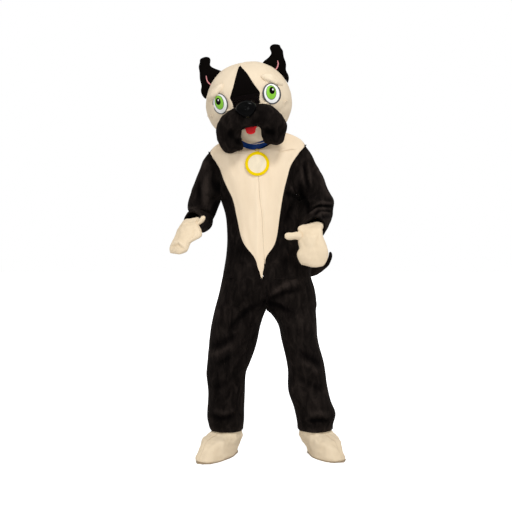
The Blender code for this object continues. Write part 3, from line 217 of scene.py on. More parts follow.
@dataclass(frozen=True)
class Finish:
    """A surface finish and the record's material slot that it goes with.

    Attributes:
        name: Name of the material.
        slot: Slot of the record.
        colour: Base colour, linear.
    """

    name: str
    slot: str
    colour: Colour

    def material(self) -> bpy.types.Material:
        """Make the finish's material.

        Returns:
            The material, which is built only the first time.
        """
        known = bpy.data.materials.get(self.name)
        if known:
            return known
        made = bpy.data.materials.new(self.name)
        made.use_nodes = True
        made.diffuse_color = (*self.colour, 1.0)
        shader = made.node_tree.nodes["Principled BSDF"]
        set_inputs(shader, {"Base Color": (*self.colour, 1.0)})
        self.dress(made.node_tree, shader)
        return made

    def dress(self, tree: bpy.types.NodeTree, shader: bpy.types.Node) -> None:
        """Add the finish's own nodes.

        Args:
            tree: The material's node tree.
            shader: Its Principled BSDF.
        """

    def effect(
        self, tree: bpy.types.NodeTree, group: bpy.types.ShaderNodeTree, values: dict[str | int, object]
    ) -> bpy.types.Node:
        """Place a shader group that reads Object coordinates.

        Args:
            tree: The material's node tree.
            group: The group to place.
            values: Values of its inputs.

        Returns:
            The group node.
        """
        place = add_node(tree, "TexCoord")
        made = add_node(tree, "Group", values, node_tree=group)
        tree.links.new(place.outputs["Object"], made.inputs["Vector"])
        return made

    def blend(
        self, tree: bpy.types.NodeTree, mask: bpy.types.NodeSocket, first: Colour, second: Colour
    ) -> bpy.types.NodeSocket:
        """Mix two colours by a mask.

        Args:
            tree: The material's node tree.
            mask: Output that holds the share of the second colour.
            first: Colour where the mask is 0.
            second: Colour where the mask is 1.

        Returns:
            The output that holds the mixed colour.
        """
        mix = add_node(tree, "Mix", {6: (*first, 1.0), 7: (*second, 1.0)}, data_type="RGBA")
        tree.links.new(mask, mix.inputs[0])
        return mix.outputs[2]

    def bump(
        self,
        tree: bpy.types.NodeTree,
        shader: bpy.types.Node,
        height: bpy.types.NodeSocket,
        depth: float,
        strength: float,
    ) -> None:
        """Drive the shader's normal by a height.

        Args:
            tree: The material's node tree.
            shader: The Principled BSDF.
            height: Output that holds the height from 0 to 1.
            depth: Depth of the relief in metres.
            strength: Share of the relief that is used.
        """
        relief = add_node(tree, "Bump", {"Distance": depth, "Strength": strength})
        tree.links.new(height, relief.inputs["Height"])
        tree.links.new(relief.outputs["Normal"], shader.inputs["Normal"])


@dataclass(frozen=True)
class Plush(Finish):
    """Short cut pile with a soft sheen.

    Attributes:
        deep: Colour between the tufts and where the nap lies away, and the painted shade in troughs.
        tufts: Tufts in a metre.
        patches: Brushed patches in a metre.
        pile: Depth of the pile in metres.
        sheen: Weight of the sheen.
        sheen_tint: Colour of the sheen.
        gloss: Level of the mirror-like reflection.
        nap: Share of the patches where the nap lies another way in the colour.
        tufted: Share of the single tufts in the colour.
        creased: Share of the folds in the colour, as painted shade in troughs and painted light on ridges,
            which also stands for the nap opening on ridges.
        grazing_sheen: Share of painted sheen: the lighter colour that a grazing view adds.
        curve: Power that leaves most of the pile deep where it is over 1.
    """

    deep: Colour
    tufts: float = 620.0
    patches: float = 11.0
    pile: float = 0.0016
    sheen: float = 0.3
    sheen_tint: Colour = (1.0, 0.95, 0.88)
    gloss: float = 0.1
    nap: float = 0.35
    tufted: float = 0.3
    creased: float = 0.6
    grazing_sheen: float = 0.0
    curve: float = 1.0

    def dress(self, tree: bpy.types.NodeTree, shader: bpy.types.Node) -> None:
        """Add the pile's colour change, relief and sheen, with painted shade and light from the folds and
        painted sheen at grazing views.

        Args:
            tree: The material's node tree.
            shader: Its Principled BSDF.
        """
        counts = {"Tufts per Metre": self.tufts, "Patches per Metre": self.patches}
        pile = self.effect(tree, pile_group(), counts)
        # Painted shade in troughs and painted light on ridges, read from the folds' attribute, which also
        # stands for the nap opening on ridges.
        fold = add_node(tree, "Attribute", attribute_name=FOLD_SHADE_MARK)
        raised = add_node(tree, "MapRange", {"From Min": -1.0})
        # Painted sheen: the pile's colour gets lighter where the cloth is seen at a grazing angle.
        grazing_sheen = add_node(tree, "LayerWeight", {"Blend": 0.3})
        fold_shade = add_node(tree, "Math", {1: self.creased}, operation="MULTIPLY")
        tree.links.new(fold.outputs["Fac"], raised.inputs["Value"])
        tree.links.new(raised.outputs["Result"], fold_shade.inputs[0])
        share = fold_shade.outputs[0]
        weights = (
            (pile.outputs["Nap"], self.nap),
            (pile.outputs["Tufts"], self.tufted),
            (grazing_sheen.outputs["Facing"], self.grazing_sheen),
        )
        for value, weight in weights:
            add = add_node(tree, "Math", {1: weight}, operation="MULTIPLY_ADD")
            tree.links.new(value, add.inputs[0])
            tree.links.new(share, add.inputs[2])
            share = add.outputs[0]
        curve = add_node(tree, "Math", {1: self.curve}, operation="POWER", use_clamp=True)
        tree.links.new(share, curve.inputs[0])
        colour = self.blend(tree, curve.outputs[0], self.deep, self.colour)
        tree.links.new(colour, shader.inputs["Base Color"])
        surface = {
            "Roughness": 0.92,
            "Specular IOR Level": self.gloss,
            "Sheen Weight": self.sheen,
            "Sheen Roughness": 0.42,
            "Sheen Tint": (*self.sheen_tint, 1.0),
        }
        set_inputs(shader, surface)
        self.bump(tree, shader, pile.outputs["Tufts"], depth=self.pile, strength=0.55)


@dataclass(frozen=True)
class Woven(Finish):
    """Woven cloth such as satin or felt.

    Attributes:
        deep: Colour in the slow darker patches.
        threads: Threads in a metre.
        roughness: Roughness of the cloth.
        sheen: Weight of the sheen.
        gloss: Level of the mirror-like reflection.
        relief: Depth of the threads in metres.
        open_net: Whether light passes between the threads.
        thread_share: Level of the threads' pattern under which an open net is solid.
    """

    deep: Colour
    threads: float = 900.0
    roughness: float = 0.35
    sheen: float = 0.4
    gloss: float = 0.3
    relief: float = 0.0005
    open_net: bool = False
    thread_share: float = 0.62

    def dress(self, tree: bpy.types.NodeTree, shader: bpy.types.Node) -> None:
        """Add the threads, the slow change of tone and the sheen.

        Args:
            tree: The material's node tree.
            shader: Its Principled BSDF.
        """
        weave = self.effect(tree, weave_group(), {"Threads per Metre": self.threads})
        colour = self.blend(tree, weave.outputs["Tone"], self.deep, self.colour)
        tree.links.new(colour, shader.inputs["Base Color"])
        set_inputs(shader, {"Roughness": self.roughness, "Specular IOR Level": self.gloss})
        set_inputs(shader, {"Sheen Weight": self.sheen, "Sheen Roughness": 0.3})
        self.bump(tree, shader, weave.outputs["Threads"], depth=self.relief, strength=0.4)
        if self.open_net:
            hole = add_node(tree, "Math", {1: self.thread_share}, operation="LESS_THAN")
            tree.links.new(weave.outputs["Threads"], hole.inputs[0])
            tree.links.new(hole.outputs[0], shader.inputs["Alpha"])


@dataclass(frozen=True)
class Moulded(Finish):
    """Moulded or coated plastic with a faint grain.

    Attributes:
        roughness: Roughness of the surface.
        gloss: Level of the mirror-like reflection.
        grain: Grains in a metre.
        relief: Depth of the grain in metres.
        shade: Share of the colour that its darker patches keep.
    """

    roughness: float = 0.3
    gloss: float = 0.5
    grain: float = 260.0
    relief: float = 0.0002
    shade: float = 0.86

    def dress(self, tree: bpy.types.NodeTree, shader: bpy.types.Node) -> None:
        """Add the grain, which also varies the tone a little.

        Args:
            tree: The material's node tree.
            shader: Its Principled BSDF.
        """
        grain = self.effect(tree, pile_group(), {"Tufts per Metre": self.grain, "Patches per Metre": 30.0})
        darker = tuple(channel * self.shade for channel in self.colour)
        colour = self.blend(tree, grain.outputs["Nap"], darker, self.colour)
        tree.links.new(colour, shader.inputs["Base Color"])
        set_inputs(shader, {"Roughness": self.roughness, "Specular IOR Level": self.gloss})
        self.bump(tree, shader, grain.outputs["Tufts"], depth=self.relief, strength=0.5)


BLACK_PLUSH = Plush(
    "black_velour",
    "black_plush",
    (0.025, 0.0188, 0.0160),
    (0.0012, 0.0009, 0.0009),
    patches=34.0,
    sheen=0.015,
    sheen_tint=(1.0, 0.80, 0.70),
    gloss=0.02,
    nap=0.36,
    # Painted shade in troughs and painted light on ridges.
    creased=0.7,
    # Painted sheen at grazing views.
    grazing_sheen=0.15,
    curve=3.2,
)
DARK_PLUSH = Plush(
    "dark_velour", "black_plush", (0.0045, 0.0034, 0.0030), (0.0010, 0.0007, 0.0007), sheen=0.005, gloss=0.01
)
CREAM_PLUSH = Plush("cream_velour", "cream_plush", (0.925, 0.768, 0.572), (0.80, 0.640, 0.450), sheen=0.05)
HEAD_PLUSH = Plush("head_velour", "cream_plush", (0.83, 0.70, 0.525), (0.68, 0.555, 0.40), sheen=0.05)
# Its creased share is painted shade in troughs and painted light on ridges.
LIMB_PLUSH = Plush(
    "limb_velour", "cream_plush", (0.87, 0.72, 0.520), (0.68, 0.54, 0.365), sheen=0.05, nap=0.3, creased=0.8
)
PINK_PLUSH = Plush("pink_velour", "pink_plush", (0.74, 0.32, 0.34), (0.55, 0.20, 0.22), tufts=800.0)
BLUE_SATIN = Woven(
    "blue_satin_weave", "blue_satin", (0.004, 0.042, 0.210), (0.002, 0.014, 0.070), sheen=0.0, gloss=0.08
)
RED_FELT = Woven("red_felt_weave", "red_felt", (0.78, 0.012, 0.02), (0.60, 0.008, 0.012), roughness=0.8)
NETTING = Woven(
    "black_net",
    "vision_mesh",
    (0.006, 0.004, 0.004),
    (0.003, 0.002, 0.002),
    threads=420.0,
    roughness=0.9,
    sheen=0.0,
    gloss=0.02,
    open_net=True,
)
NOSE_VINYL = Moulded("black_gloss", "nose_vinyl", (0.002, 0.002, 0.002), roughness=0.16, gloss=0.04)
EYE_WHITE = Moulded("eye_white", "eye_vinyl", (0.97, 0.97, 0.96), roughness=0.35, gloss=0.3)
EYE_RIM = Moulded("eye_rim", "eye_vinyl", (0.05, 0.05, 0.055), roughness=0.5)
IRIS_GREEN = Moulded("iris_green", "eye_vinyl", (0.24, 0.60, 0.03), roughness=0.35)
PUPIL_BLACK = Moulded("pupil_black", "eye_vinyl", (0.002, 0.002, 0.002), roughness=0.2, gloss=0.03)
TAG_YELLOW = Moulded(
    "tag_yellow_felt", "tag_yellow", (0.93, 0.66, 0.0), roughness=0.8, gloss=0.05, grain=700.0
)
TAG_CREAM = Moulded(
    "tag_cream_felt", "tag_cream", (0.93, 0.81, 0.60), roughness=0.8, gloss=0.05, grain=700.0
)
SOLE = Moulded(
    "sole_grain", "sole_vinyl", (0.46, 0.36, 0.25), roughness=0.8, gloss=0.1, grain=500.0, relief=0.0005
)


# ---------------------------------------------------------------- relief


class Side(Enum):
    """Side of the costume that a fold is on."""

    FRONT = -1
    BACK = 1
    BOTH = 0


def side_share(side: Side, facing: np.ndarray) -> np.ndarray:
    """Return how far each point belongs to a side, from 0 to 1.

    Args:
        side: The side.
        facing: Normals of the points.

    Returns:
        One share for each point.
    """
    if side is Side.BOTH:
        return np.ones(len(facing))
    return np.clip(facing[:, 1] * side.value * SIDE_SLOPE + SIDE_SPILL, 0.0, 1.0)


@dataclass(frozen=True)
class Fold:
    """A soft ridge or trough along a bent line, fading out at both ends.

    Attributes:
        line: Points (x, z) that it runs through, in mm.
        width: Half-width of its slopes in mm.
        height: Rise in mm, below 0 for a trough.
        side: Side of the costume it is on.
    """

    line: Line
    width: float
    height: float
    side: Side = Side.FRONT

    def rise(self, places: np.ndarray, facing: np.ndarray) -> np.ndarray:
        """Return the rise in mm at each point.

        Args:
            places: Points in mm.
            facing: Their normals.

        Returns:
            One rise for each point.
        """
        flat = places[:, [0, 2]]
        nearest = np.full(len(places), np.inf)
        along = np.zeros(len(places))
        count = len(self.line) - 1
        for part, (start, end) in enumerate(zip(self.line, self.line[1:])):
            start, run = np.array(start), np.array(end) - np.array(start)
            share = np.clip((flat - start) @ run / (run @ run), 0, 1)
            away = np.linalg.norm(flat - start - share[:, None] * run, axis=1)
            closer = away < nearest
            nearest[closer] = away[closer]
            along[closer] = ((part + share) / count)[closer]
        fade = np.clip(4 * along * (1 - along), 0, 1) ** END_FADE
        slope = np.exp(-((nearest / self.width) ** 2))
        return self.height * slope * (END_RISE + (1 - END_RISE) * fade) * side_share(self.side, facing)


@dataclass(frozen=True)
class Dent:
    """A round hollow or bulge.

    Attributes:
        place: Its centre (x, z) in mm.
        radius: Radius in mm.
        height: Rise at its centre in mm, below 0 for a hollow.
        side: Side of the costume it is on.
    """

    place: Spot
    radius: float
    height: float
    side: Side = Side.FRONT

    def rise(self, places: np.ndarray, facing: np.ndarray) -> np.ndarray:
        """Return the rise in mm at each point."""
        away = np.linalg.norm(places[:, [0, 2]] - np.array(self.place), axis=1)
        return self.height * np.exp(-((away / self.radius) ** 2)) * side_share(self.side, facing)


@dataclass(frozen=True)
class Gathers:
    """Uneven waves round an edge, strongest at the edge.

    Attributes:
        centre: Middle of the edge (x, y) in mm.
        level: Height of the edge in mm.
        reach: How far above the edge they fade out, in mm.
        waves: Waves once round.
        height: Height of a wave in mm.
    """

    centre: Spot
    level: float
    reach: float
    waves: int
    height: float

    def rise(self, places: np.ndarray, facing: np.ndarray) -> np.ndarray:
        """Return the rise in mm at each point.

        Args:
            places: Points in mm.
            facing: Their normals.

        Returns:
            One rise for each point.
        """
        offset = places[:, :2] - np.array(self.centre)
        turn = np.arctan2(offset[:, 1], offset[:, 0])
        slow = SLOW_WAVE * np.sin(turn * (self.waves // 2) + 2.0)
        wave = np.sin(turn * self.waves + WAVE_DRIFT * np.sin(turn * 2 + 0.7)) + slow
        crest = 1 + SLOW_WAVE
        above = places[:, 2] - self.level
        return self.height * (wave + crest) / (2 * crest) * np.exp(-((above / self.reach) ** 2))


@dataclass(frozen=True)
class Ramp:
    """A rise or drop that sets in over a range of heights.

    Attributes:
        level: Height where it starts, in mm.
        reach: Height over which it sets in, upwards or, below 0, downwards, in mm.
        height: The rise in mm.
    """

    level: float
    reach: float
    height: float

    def rise(self, places: np.ndarray, facing: np.ndarray) -> np.ndarray:
        """Return the rise in mm at each point."""
        share = np.clip((places[:, 2] - self.level) / self.reach, 0, 1)
        return self.height * share * share * (3 - 2 * share)


@dataclass(frozen=True)
class Unevenness:
    """Slow irregular rises and hollows, as worn cloth has everywhere.

    Attributes:
        size: Size of a rise in mm.
        height: Height in mm.
        seed: Shift of the pattern, so that no two pieces have the same.
        drape: Stretch of the pattern down the cloth.
    """

    size: float
    height: float
    seed: float = 0.0
    drape: float = 2.0

    def rise(self, places: np.ndarray, facing: np.ndarray) -> np.ndarray:
        """Return the rise in mm at each point.

        Args:
            places: Points in mm.
            facing: Their normals.

        Returns:
            One rise for each point.
        """
        shift = Vector((self.seed, self.seed * 1.7, -self.seed))
        scale = Vector((1 / self.size, 1 / self.size, 1 / (self.size * self.drape)))
        return np.array([noise.noise(Vector(place) * scale + shift) for place in places]) * self.height * 2


@dataclass(frozen=True)
class Pull:
    """A soft shift of the cloth across or up, as filling or a hand pushes it.

    Attributes:
        place: Its centre (x, z) in mm.
        radius: Radius in mm.
        move: Shift at its centre (x, y, z) in mm.
        side: Side of the costume it is on.
    """

    place: Spot
    radius: float
    move: tuple[float, float, float]
    side: Side = Side.BOTH

    def shift(self, places: np.ndarray, facing: np.ndarray) -> np.ndarray:
        """Return the shift in mm of each point.

        Args:
            places: Points in mm.
            facing: Their normals.

        Returns:
            One shift for each point.
        """
        away = np.linalg.norm(places[:, [0, 2]] - np.array(self.place), axis=1)
        share = np.exp(-((away / self.radius) ** 2)) * side_share(self.side, facing)
        return share[:, None] * np.array(self.move)


@dataclass(frozen=True)
class Squeeze:
    """A piece made smaller about a place.

    Attributes:
        place: The place (x, z) in mm.
        share: Shares of its width and height that are kept.
    """

    place: Spot
    share: tuple[float, float]

    def shift(self, places: np.ndarray, facing: np.ndarray) -> np.ndarray:
        """Return the shift in mm of each point."""
        middle = np.array((self.place[0], 0.0, self.place[1]))
        return (places - middle) * np.array((self.share[0] - 1, 0.0, self.share[1] - 1))


Shift = Pull | Squeeze
Relief = Fold | Dent | Gathers | Ramp | Unevenness | Shift


# ---------------------------------------------------------------- making pieces


def points_of(mesh: bpy.types.Mesh) -> np.ndarray:
    """Read a mesh's points.

    Args:
        mesh: The mesh.

    Returns:
        Rows of x, y and z in metres.
    """
    flat = np.empty(len(mesh.vertices) * 3, np.float32)
    mesh.vertices.foreach_get("co", flat)
    return flat.reshape(-1, 3).astype(np.float64)


def normals_of(mesh: bpy.types.Mesh) -> np.ndarray:
    """Read the normals at a mesh's points.

    Args:
        mesh: The mesh.

    Returns:
        Rows of x, y and z.
    """
    flat = np.empty(len(mesh.vertices) * 3, np.float32)
    mesh.vertex_normals.foreach_get("vector", flat)
    return flat.reshape(-1, 3).astype(np.float64)


def set_points(mesh: bpy.types.Mesh, places: np.ndarray) -> None:
    """Give a mesh new points.

    Args:
        mesh: The mesh.
        places: Rows of x, y and z in metres.
    """
    mesh.vertices.foreach_set("co", places.astype(np.float32).ravel())
    mesh.update()


def new_piece(name: str, bm: bmesh.types.BMesh) -> bpy.types.Object:
    """Make an object from a bmesh, which is freed.

    Args:
        name: Name of the piece.
        bm: Its form, in metres.

    Returns:
        The object, linked to the scene.
    """
    mesh = bpy.data.meshes.new(name)
    bm.to_mesh(mesh)
    bm.free()
    piece = bpy.data.objects.new(name, mesh)
    bpy.context.scene.collection.objects.link(piece)
    return piece


def settle(piece: bpy.types.Object) -> None:
    """Make a piece's modifiers part of its mesh.

    Args:
        piece: The piece.
    """
    graph = bpy.context.evaluated_depsgraph_get()
    mesh = bpy.data.meshes.new_from_object(piece.evaluated_get(graph))
    piece.modifiers.clear()
    piece.data = mesh


def welded_copy(node: str) -> bmesh.types.BMesh:
    """Copy a CAD node's mesh and merge its points.

    Args:
        node: Name of the node.

    Returns:
        The copy.
    """
    bm = bmesh.new()
    bm.from_mesh(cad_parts[node].data)
    bmesh.ops.remove_doubles(bm, verts=bm.verts, dist=WELD)
    bm.normal_update()
    return bm


def paired(bm: bmesh.types.BMesh) -> bmesh.types.BMesh:
    """Join triangles into four-sided faces, which subdivide more evenly.

    Args:
        bm: The mesh, which is changed.

    Returns:
        The same mesh.
    """
    flat = math.radians(PAIRING_ANGLE)
    bmesh.ops.join_triangles(bm, faces=bm.faces, angle_face_threshold=flat, angle_shape_threshold=math.pi)
    return bm


def whole_form(node: str) -> bmesh.types.BMesh:
    """Copy a CAD node's whole mesh as four-sided faces."""
    return paired(welded_copy(node))


def area_of(group: set[bmesh.types.BMFace]) -> float:
    """Return the area of a group of faces."""
    return sum(face.calc_area() for face in group)


def joined_groups(bm: bmesh.types.BMesh, fold: float) -> list[set[bmesh.types.BMFace]]:
    """Group faces that join across edges folded less than an angle.

    Args:
        bm: The mesh.
        fold: The angle in degrees.

    Returns:
        The groups, largest area first.
    """
    groups = []
    left = set(bm.faces)
    while left:
        group = {left.pop()}
        reach = list(group)
        while reach:
            for edge in reach.pop().edges:
                if edge.calc_face_angle(math.pi) > math.radians(fold):
                    continue
                fresh = left.intersection(edge.link_faces)
                left -= fresh
                group |= fresh
                reach.extend(fresh)
        groups.append(group)
    return sorted(groups, key=area_of, reverse=True)


def beside(group: set[bmesh.types.BMFace], sheet: set[bmesh.types.BMFace]) -> bool:
    """Tell whether a group of faces shares an edge with a sheet."""
    return any(other in sheet for face in group for edge in face.edges for other in edge.link_faces)


def cloth_form(node: str) -> bmesh.types.BMesh:
    """Copy only the outer face of a CAD cloth wall, as an open sheet.

    Args:
        node: Name of the node.

    Returns:
        The open sheet.
    """
    bm = welded_copy(node)
    for fold in PARTING_FOLDS:
        outer, inner, *rest = joined_groups(bm, fold)
        if area_of(inner) > INNER_SHARE * area_of(outer):
            break
    else:
        LOG.warning("%s: its inner and outer faces aren't parted", node)
    kept = set(outer)
    for group in rest:
        if beside(group, outer) and not beside(group, inner):
            kept |= group
    bmesh.ops.delete(bm, geom=[face for face in bm.faces if face not in kept], context="FACES")
    return paired(bm)


def smoothed(name: str, bm: bmesh.types.BMesh, levels: int) -> bpy.types.Object:
    """Subdivide a coarse form so that the smooth surface still passes through its own points.

    Args:
        name: Name of the piece.
        bm: The coarse form, which is freed.
        levels: Times that it is subdivided.

    Returns:
        The smooth piece.
    """
    piece = new_piece(name, bm)
    smooth = piece.modifiers.new("smooth", "SUBSURF")
    smooth.boundary_smooth = "PRESERVE_CORNERS"
    smooth.levels = smooth.render_levels = 1
    goal = points_of(piece.data)
    for _ in range(FITTING_ROUNDS):
        graph = bpy.context.evaluated_depsgraph_get()
        reached = points_of(piece.evaluated_get(graph).data)[: len(goal)]
        set_points(piece.data, points_of(piece.data) + goal - reached)
    smooth.levels = smooth.render_levels = levels
    settle(piece)
    return piece


def free_share(piece: bpy.types.Object, free_below: float) -> np.ndarray:
    """Return how freely each point moves, from 0 on a seam to 1 well away from it.

    Args:
        piece: The piece, open at its seams.
        free_below: Height under which its open edges are free hems, in mm.

    Returns:
        One share for each point.
    """
    bm = bmesh.new()
    bm.from_mesh(piece.data)
    rim = [vert.co.copy() for vert in bm.verts if vert.is_boundary and vert.co.z > free_below * MM]
    bm.free()
    places = points_of(piece.data)
    if not rim:
        return np.ones(len(places))
    seams = KDTree(len(rim))
    for index, spot in enumerate(rim):
        seams.insert(spot, index)
    seams.balance()
    away = np.array([seams.find(place)[2] for place in places]) / MM
    share = np.clip(away / SEAM_REACH, 0, 1)
    return share * share * (3 - 2 * share)


def press(piece: bpy.types.Object, reliefs: Sequence[Relief], free_below: float = -math.inf) -> None:
    """Shift a piece's points, then move them along their normals by the sum of its other reliefs.

    The sum also goes into an attribute, by which the pile's colour gets painted shade in a trough and
    painted light on a ridge, which also stands for the nap opening on a ridge.

    Args:
        piece: The piece.
        reliefs: The reliefs, in mm.
        free_below: Height under which its open edges are free hems, in mm.
    """
    for relief in reliefs:
        if isinstance(relief, Shift):
            places = points_of(piece.data)
            set_points(piece.data, places + relief.shift(places / MM, normals_of(piece.data)) * MM)
    places = points_of(piece.data)
    facing = normals_of(piece.data)
    folds = np.zeros(len(places))
    slow = np.zeros(len(places))
    for relief in reliefs:
        if isinstance(relief, Unevenness):
            slow += relief.rise(places / MM, facing)
        elif not isinstance(relief, Shift):
            folds += relief.rise(places / MM, facing)
    free = free_share(piece, free_below)
    set_points(piece.data, places + facing * ((folds + slow) * free)[:, None] * MM)
    # The folds' rise, kept as painted shade and painted light for the pile's colour.
    mark = piece.data.attributes.new(FOLD_SHADE_MARK, "FLOAT", "POINT")
    shade = np.clip((folds + slow * SLOW_SHADE) * free / FULL_SHADE_RISE, -1, 1)
    mark.data.foreach_set("value", shade.astype(np.float32))


def neighbours(vert: bmesh.types.BMVert) -> list[bmesh.types.BMVert]:
    """Return the points that share an edge with a point."""
    return [edge.other_vert(vert) for edge in vert.link_edges]


def turn_in_edges(piece: bpy.types.Object, dip: float, allowance: float) -> None:
    """Round a sheet's edges in, draw them to the next piece and fold their allowance inside, as sewing does.

    Args:
        piece: The open sheet.
        dip: How far its edge goes in, in mm.
        allowance: Width of the cloth folded inside, in mm.
    """
    bm = bmesh.new()
    bm.from_mesh(piece.data)
    bm.normal_update()
    ways = {vert: vert.normal.copy() for vert in bm.verts if vert.is_boundary}
    for vert, way in ways.items():
        vert.co -= way * dip * MM
        within = [edge.other_vert(vert).co for edge in vert.link_edges if not edge.is_boundary]
        if within:
            vert.co += (vert.co - sum(within, Vector()) / len(within)).normalized() * SEAM_CLOSING * MM
    rim = [edge for edge in bm.edges if edge.is_boundary]
    for share in ALLOWANCE_STEPS:
        known, ways = ways, {}
        made = bmesh.ops.extrude_edge_only(bm, edges=rim)["geom"]
        fresh = [item for item in made if isinstance(item, bmesh.types.BMVert)]
        rim = [item for item in made if isinstance(item, bmesh.types.BMEdge) and item.is_boundary]
        for vert in fresh:
            ways[vert] = next(known[other] for other in neighbours(vert) if other in known)
            vert.co -= ways[vert] * allowance * share * MM
    bm.to_mesh(piece.data)
    bm.free()


def thicken(piece: bpy.types.Object, wall: float) -> None:
    """Give an open sheet its wall, inwards from its outer face.

    Args:
        piece: The open sheet.
        wall: Thickness in mm.
    """
    solid = piece.modifiers.new("wall", "SOLIDIFY")
    solid.thickness = wall * MM
    solid.offset = -1.0
    settle(piece)


def dress(piece: bpy.types.Object, finish: Finish, *nodes: str) -> None:
    """Give a piece its finish, let it ride on the costume and stand for its CAD nodes.

    Args:
        piece: The piece.
        finish: Its finish.
        nodes: Names of the CAD nodes it stands for.
    """
    piece.data.materials.clear()
    piece.data.materials.append(finish.material())
    piece.data.shade_smooth()
    piece.data.set_sharp_from_angle(angle=math.radians(SHARP_ANGLE))
    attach(piece, "root")
    if nodes:
        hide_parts(*nodes)
    area = sum(face.area for face in piece.data.polygons) / 2
    LOG.info("%s: %d faces, %.3f m2 a side", piece.name, len(piece.data.polygons), area)


@dataclass(frozen=True)
class Cut:
    """The flat piece of cloth that a panel was cut from.

    Attributes:
        width: Width in metres.
        length: Length in metres.
        share: Share of that rectangle that the panel fills.
        held: How the cloth is held.
    """

    width: float
    length: float
    share: float = 0.9
    held: str = "draped"

    def declare(self, piece: bpy.types.Object) -> None:
        """Do nothing with the piece; the cut stays only in this record.

        Args:
            piece: The sheet of cloth; not used.
        """


@dataclass(frozen=True)
class Panel:
    """A panel of cloth on the form of a CAD node.

    Attributes:
        node: Name of the node, and the piece's name with _cloth after it.
        finish: Its finish.
        cut: The flat cloth it was cut from.
        levels: Times that the coarse form is subdivided.
        wall: Thickness in mm.
        dip: How far its edges round in at the seams, in mm.
        allowance: Width of the cloth folded inside at the edges, in mm.
        join: Points of the coarse form nearer than this are joined, in mm.
        free_below: Height under which its open edges are free hems, in mm.
    """

    node: str
    finish: Finish
    cut: Cut
    levels: int = SUIT_LEVELS
    wall: float = PLUSH_WALL
    dip: float = SEAM_DIP
    allowance: float = 5.0
    join: float = 0.0
    free_below: float = -math.inf

    def make(self, reliefs: Sequence[Relief]) -> bpy.types.Object:
        """Build the panel.

        Args:
            reliefs: Its folds.

        Returns:
            The piece.
        """
        form = cloth_form(self.node)
        bmesh.ops.remove_doubles(form, verts=form.verts, dist=self.join * MM)
        piece = smoothed(f"{self.node}_cloth", form, self.levels)
        press(piece, reliefs, self.free_below)
        turn_in_edges(piece, self.dip, self.allowance)
        thicken(piece, self.wall)
        dress(piece, self.finish, self.node)
        self.cut.declare(piece)
        return piece


def stuffed_piece(
    node: str, finish: Finish, reliefs: Sequence[Relief], levels: int
) -> bpy.types.Object:
    """Make a stuffed piece on the form of its CAD node.

    Args:
        node: Name of the node.
        finish: Its finish.
        reliefs: Its folds and pinches.
        levels: Times that the coarse form is subdivided.

    Returns:
        The piece.
    """
    piece = smoothed(f"{node}_stuffed", whole_form(node), levels)
    press(piece, reliefs)
    dress(piece, finish, node)
    return piece


def rounded_line(line: Line, rounds: int) -> np.ndarray:
    """Round a line by cutting its corners again and again, with its ends kept.

    Args:
        line: The line.
        rounds: Times that its corners are cut.

    Returns:
        Its points as rows.
    """
    path = np.array(line, float)
    for _ in range(rounds):
        cut = np.stack([path[:-1] * 0.75 + path[1:] * 0.25, path[:-1] * 0.25 + path[1:] * 0.75], axis=1)
        path = np.concatenate([path[:1], cut.reshape(-1, 2), path[-1:]])
    return path


def ray_surface(piece: bpy.types.Object) -> BVHTree:
    """Return a piece's surface, made ready for rays.

    Args:
        piece: The piece.

    Returns:
        The surface.
    """
    bm = bmesh.new()
    bm.from_mesh(piece.data)
    surface = BVHTree.FromBMesh(bm)
    bm.free()
    return surface


def depth_at(surface: BVHTree, x: float, z: float) -> float | None:
    """Return the y at which a ray from the front meets a surface, or None where it misses."""
    hit, _, _, _ = surface.ray_cast(Vector((x, RAY_START, z)), Vector((0, 1, 0)))
    return hit.y if hit else None


# ---------------------------------------------------------------- the suit


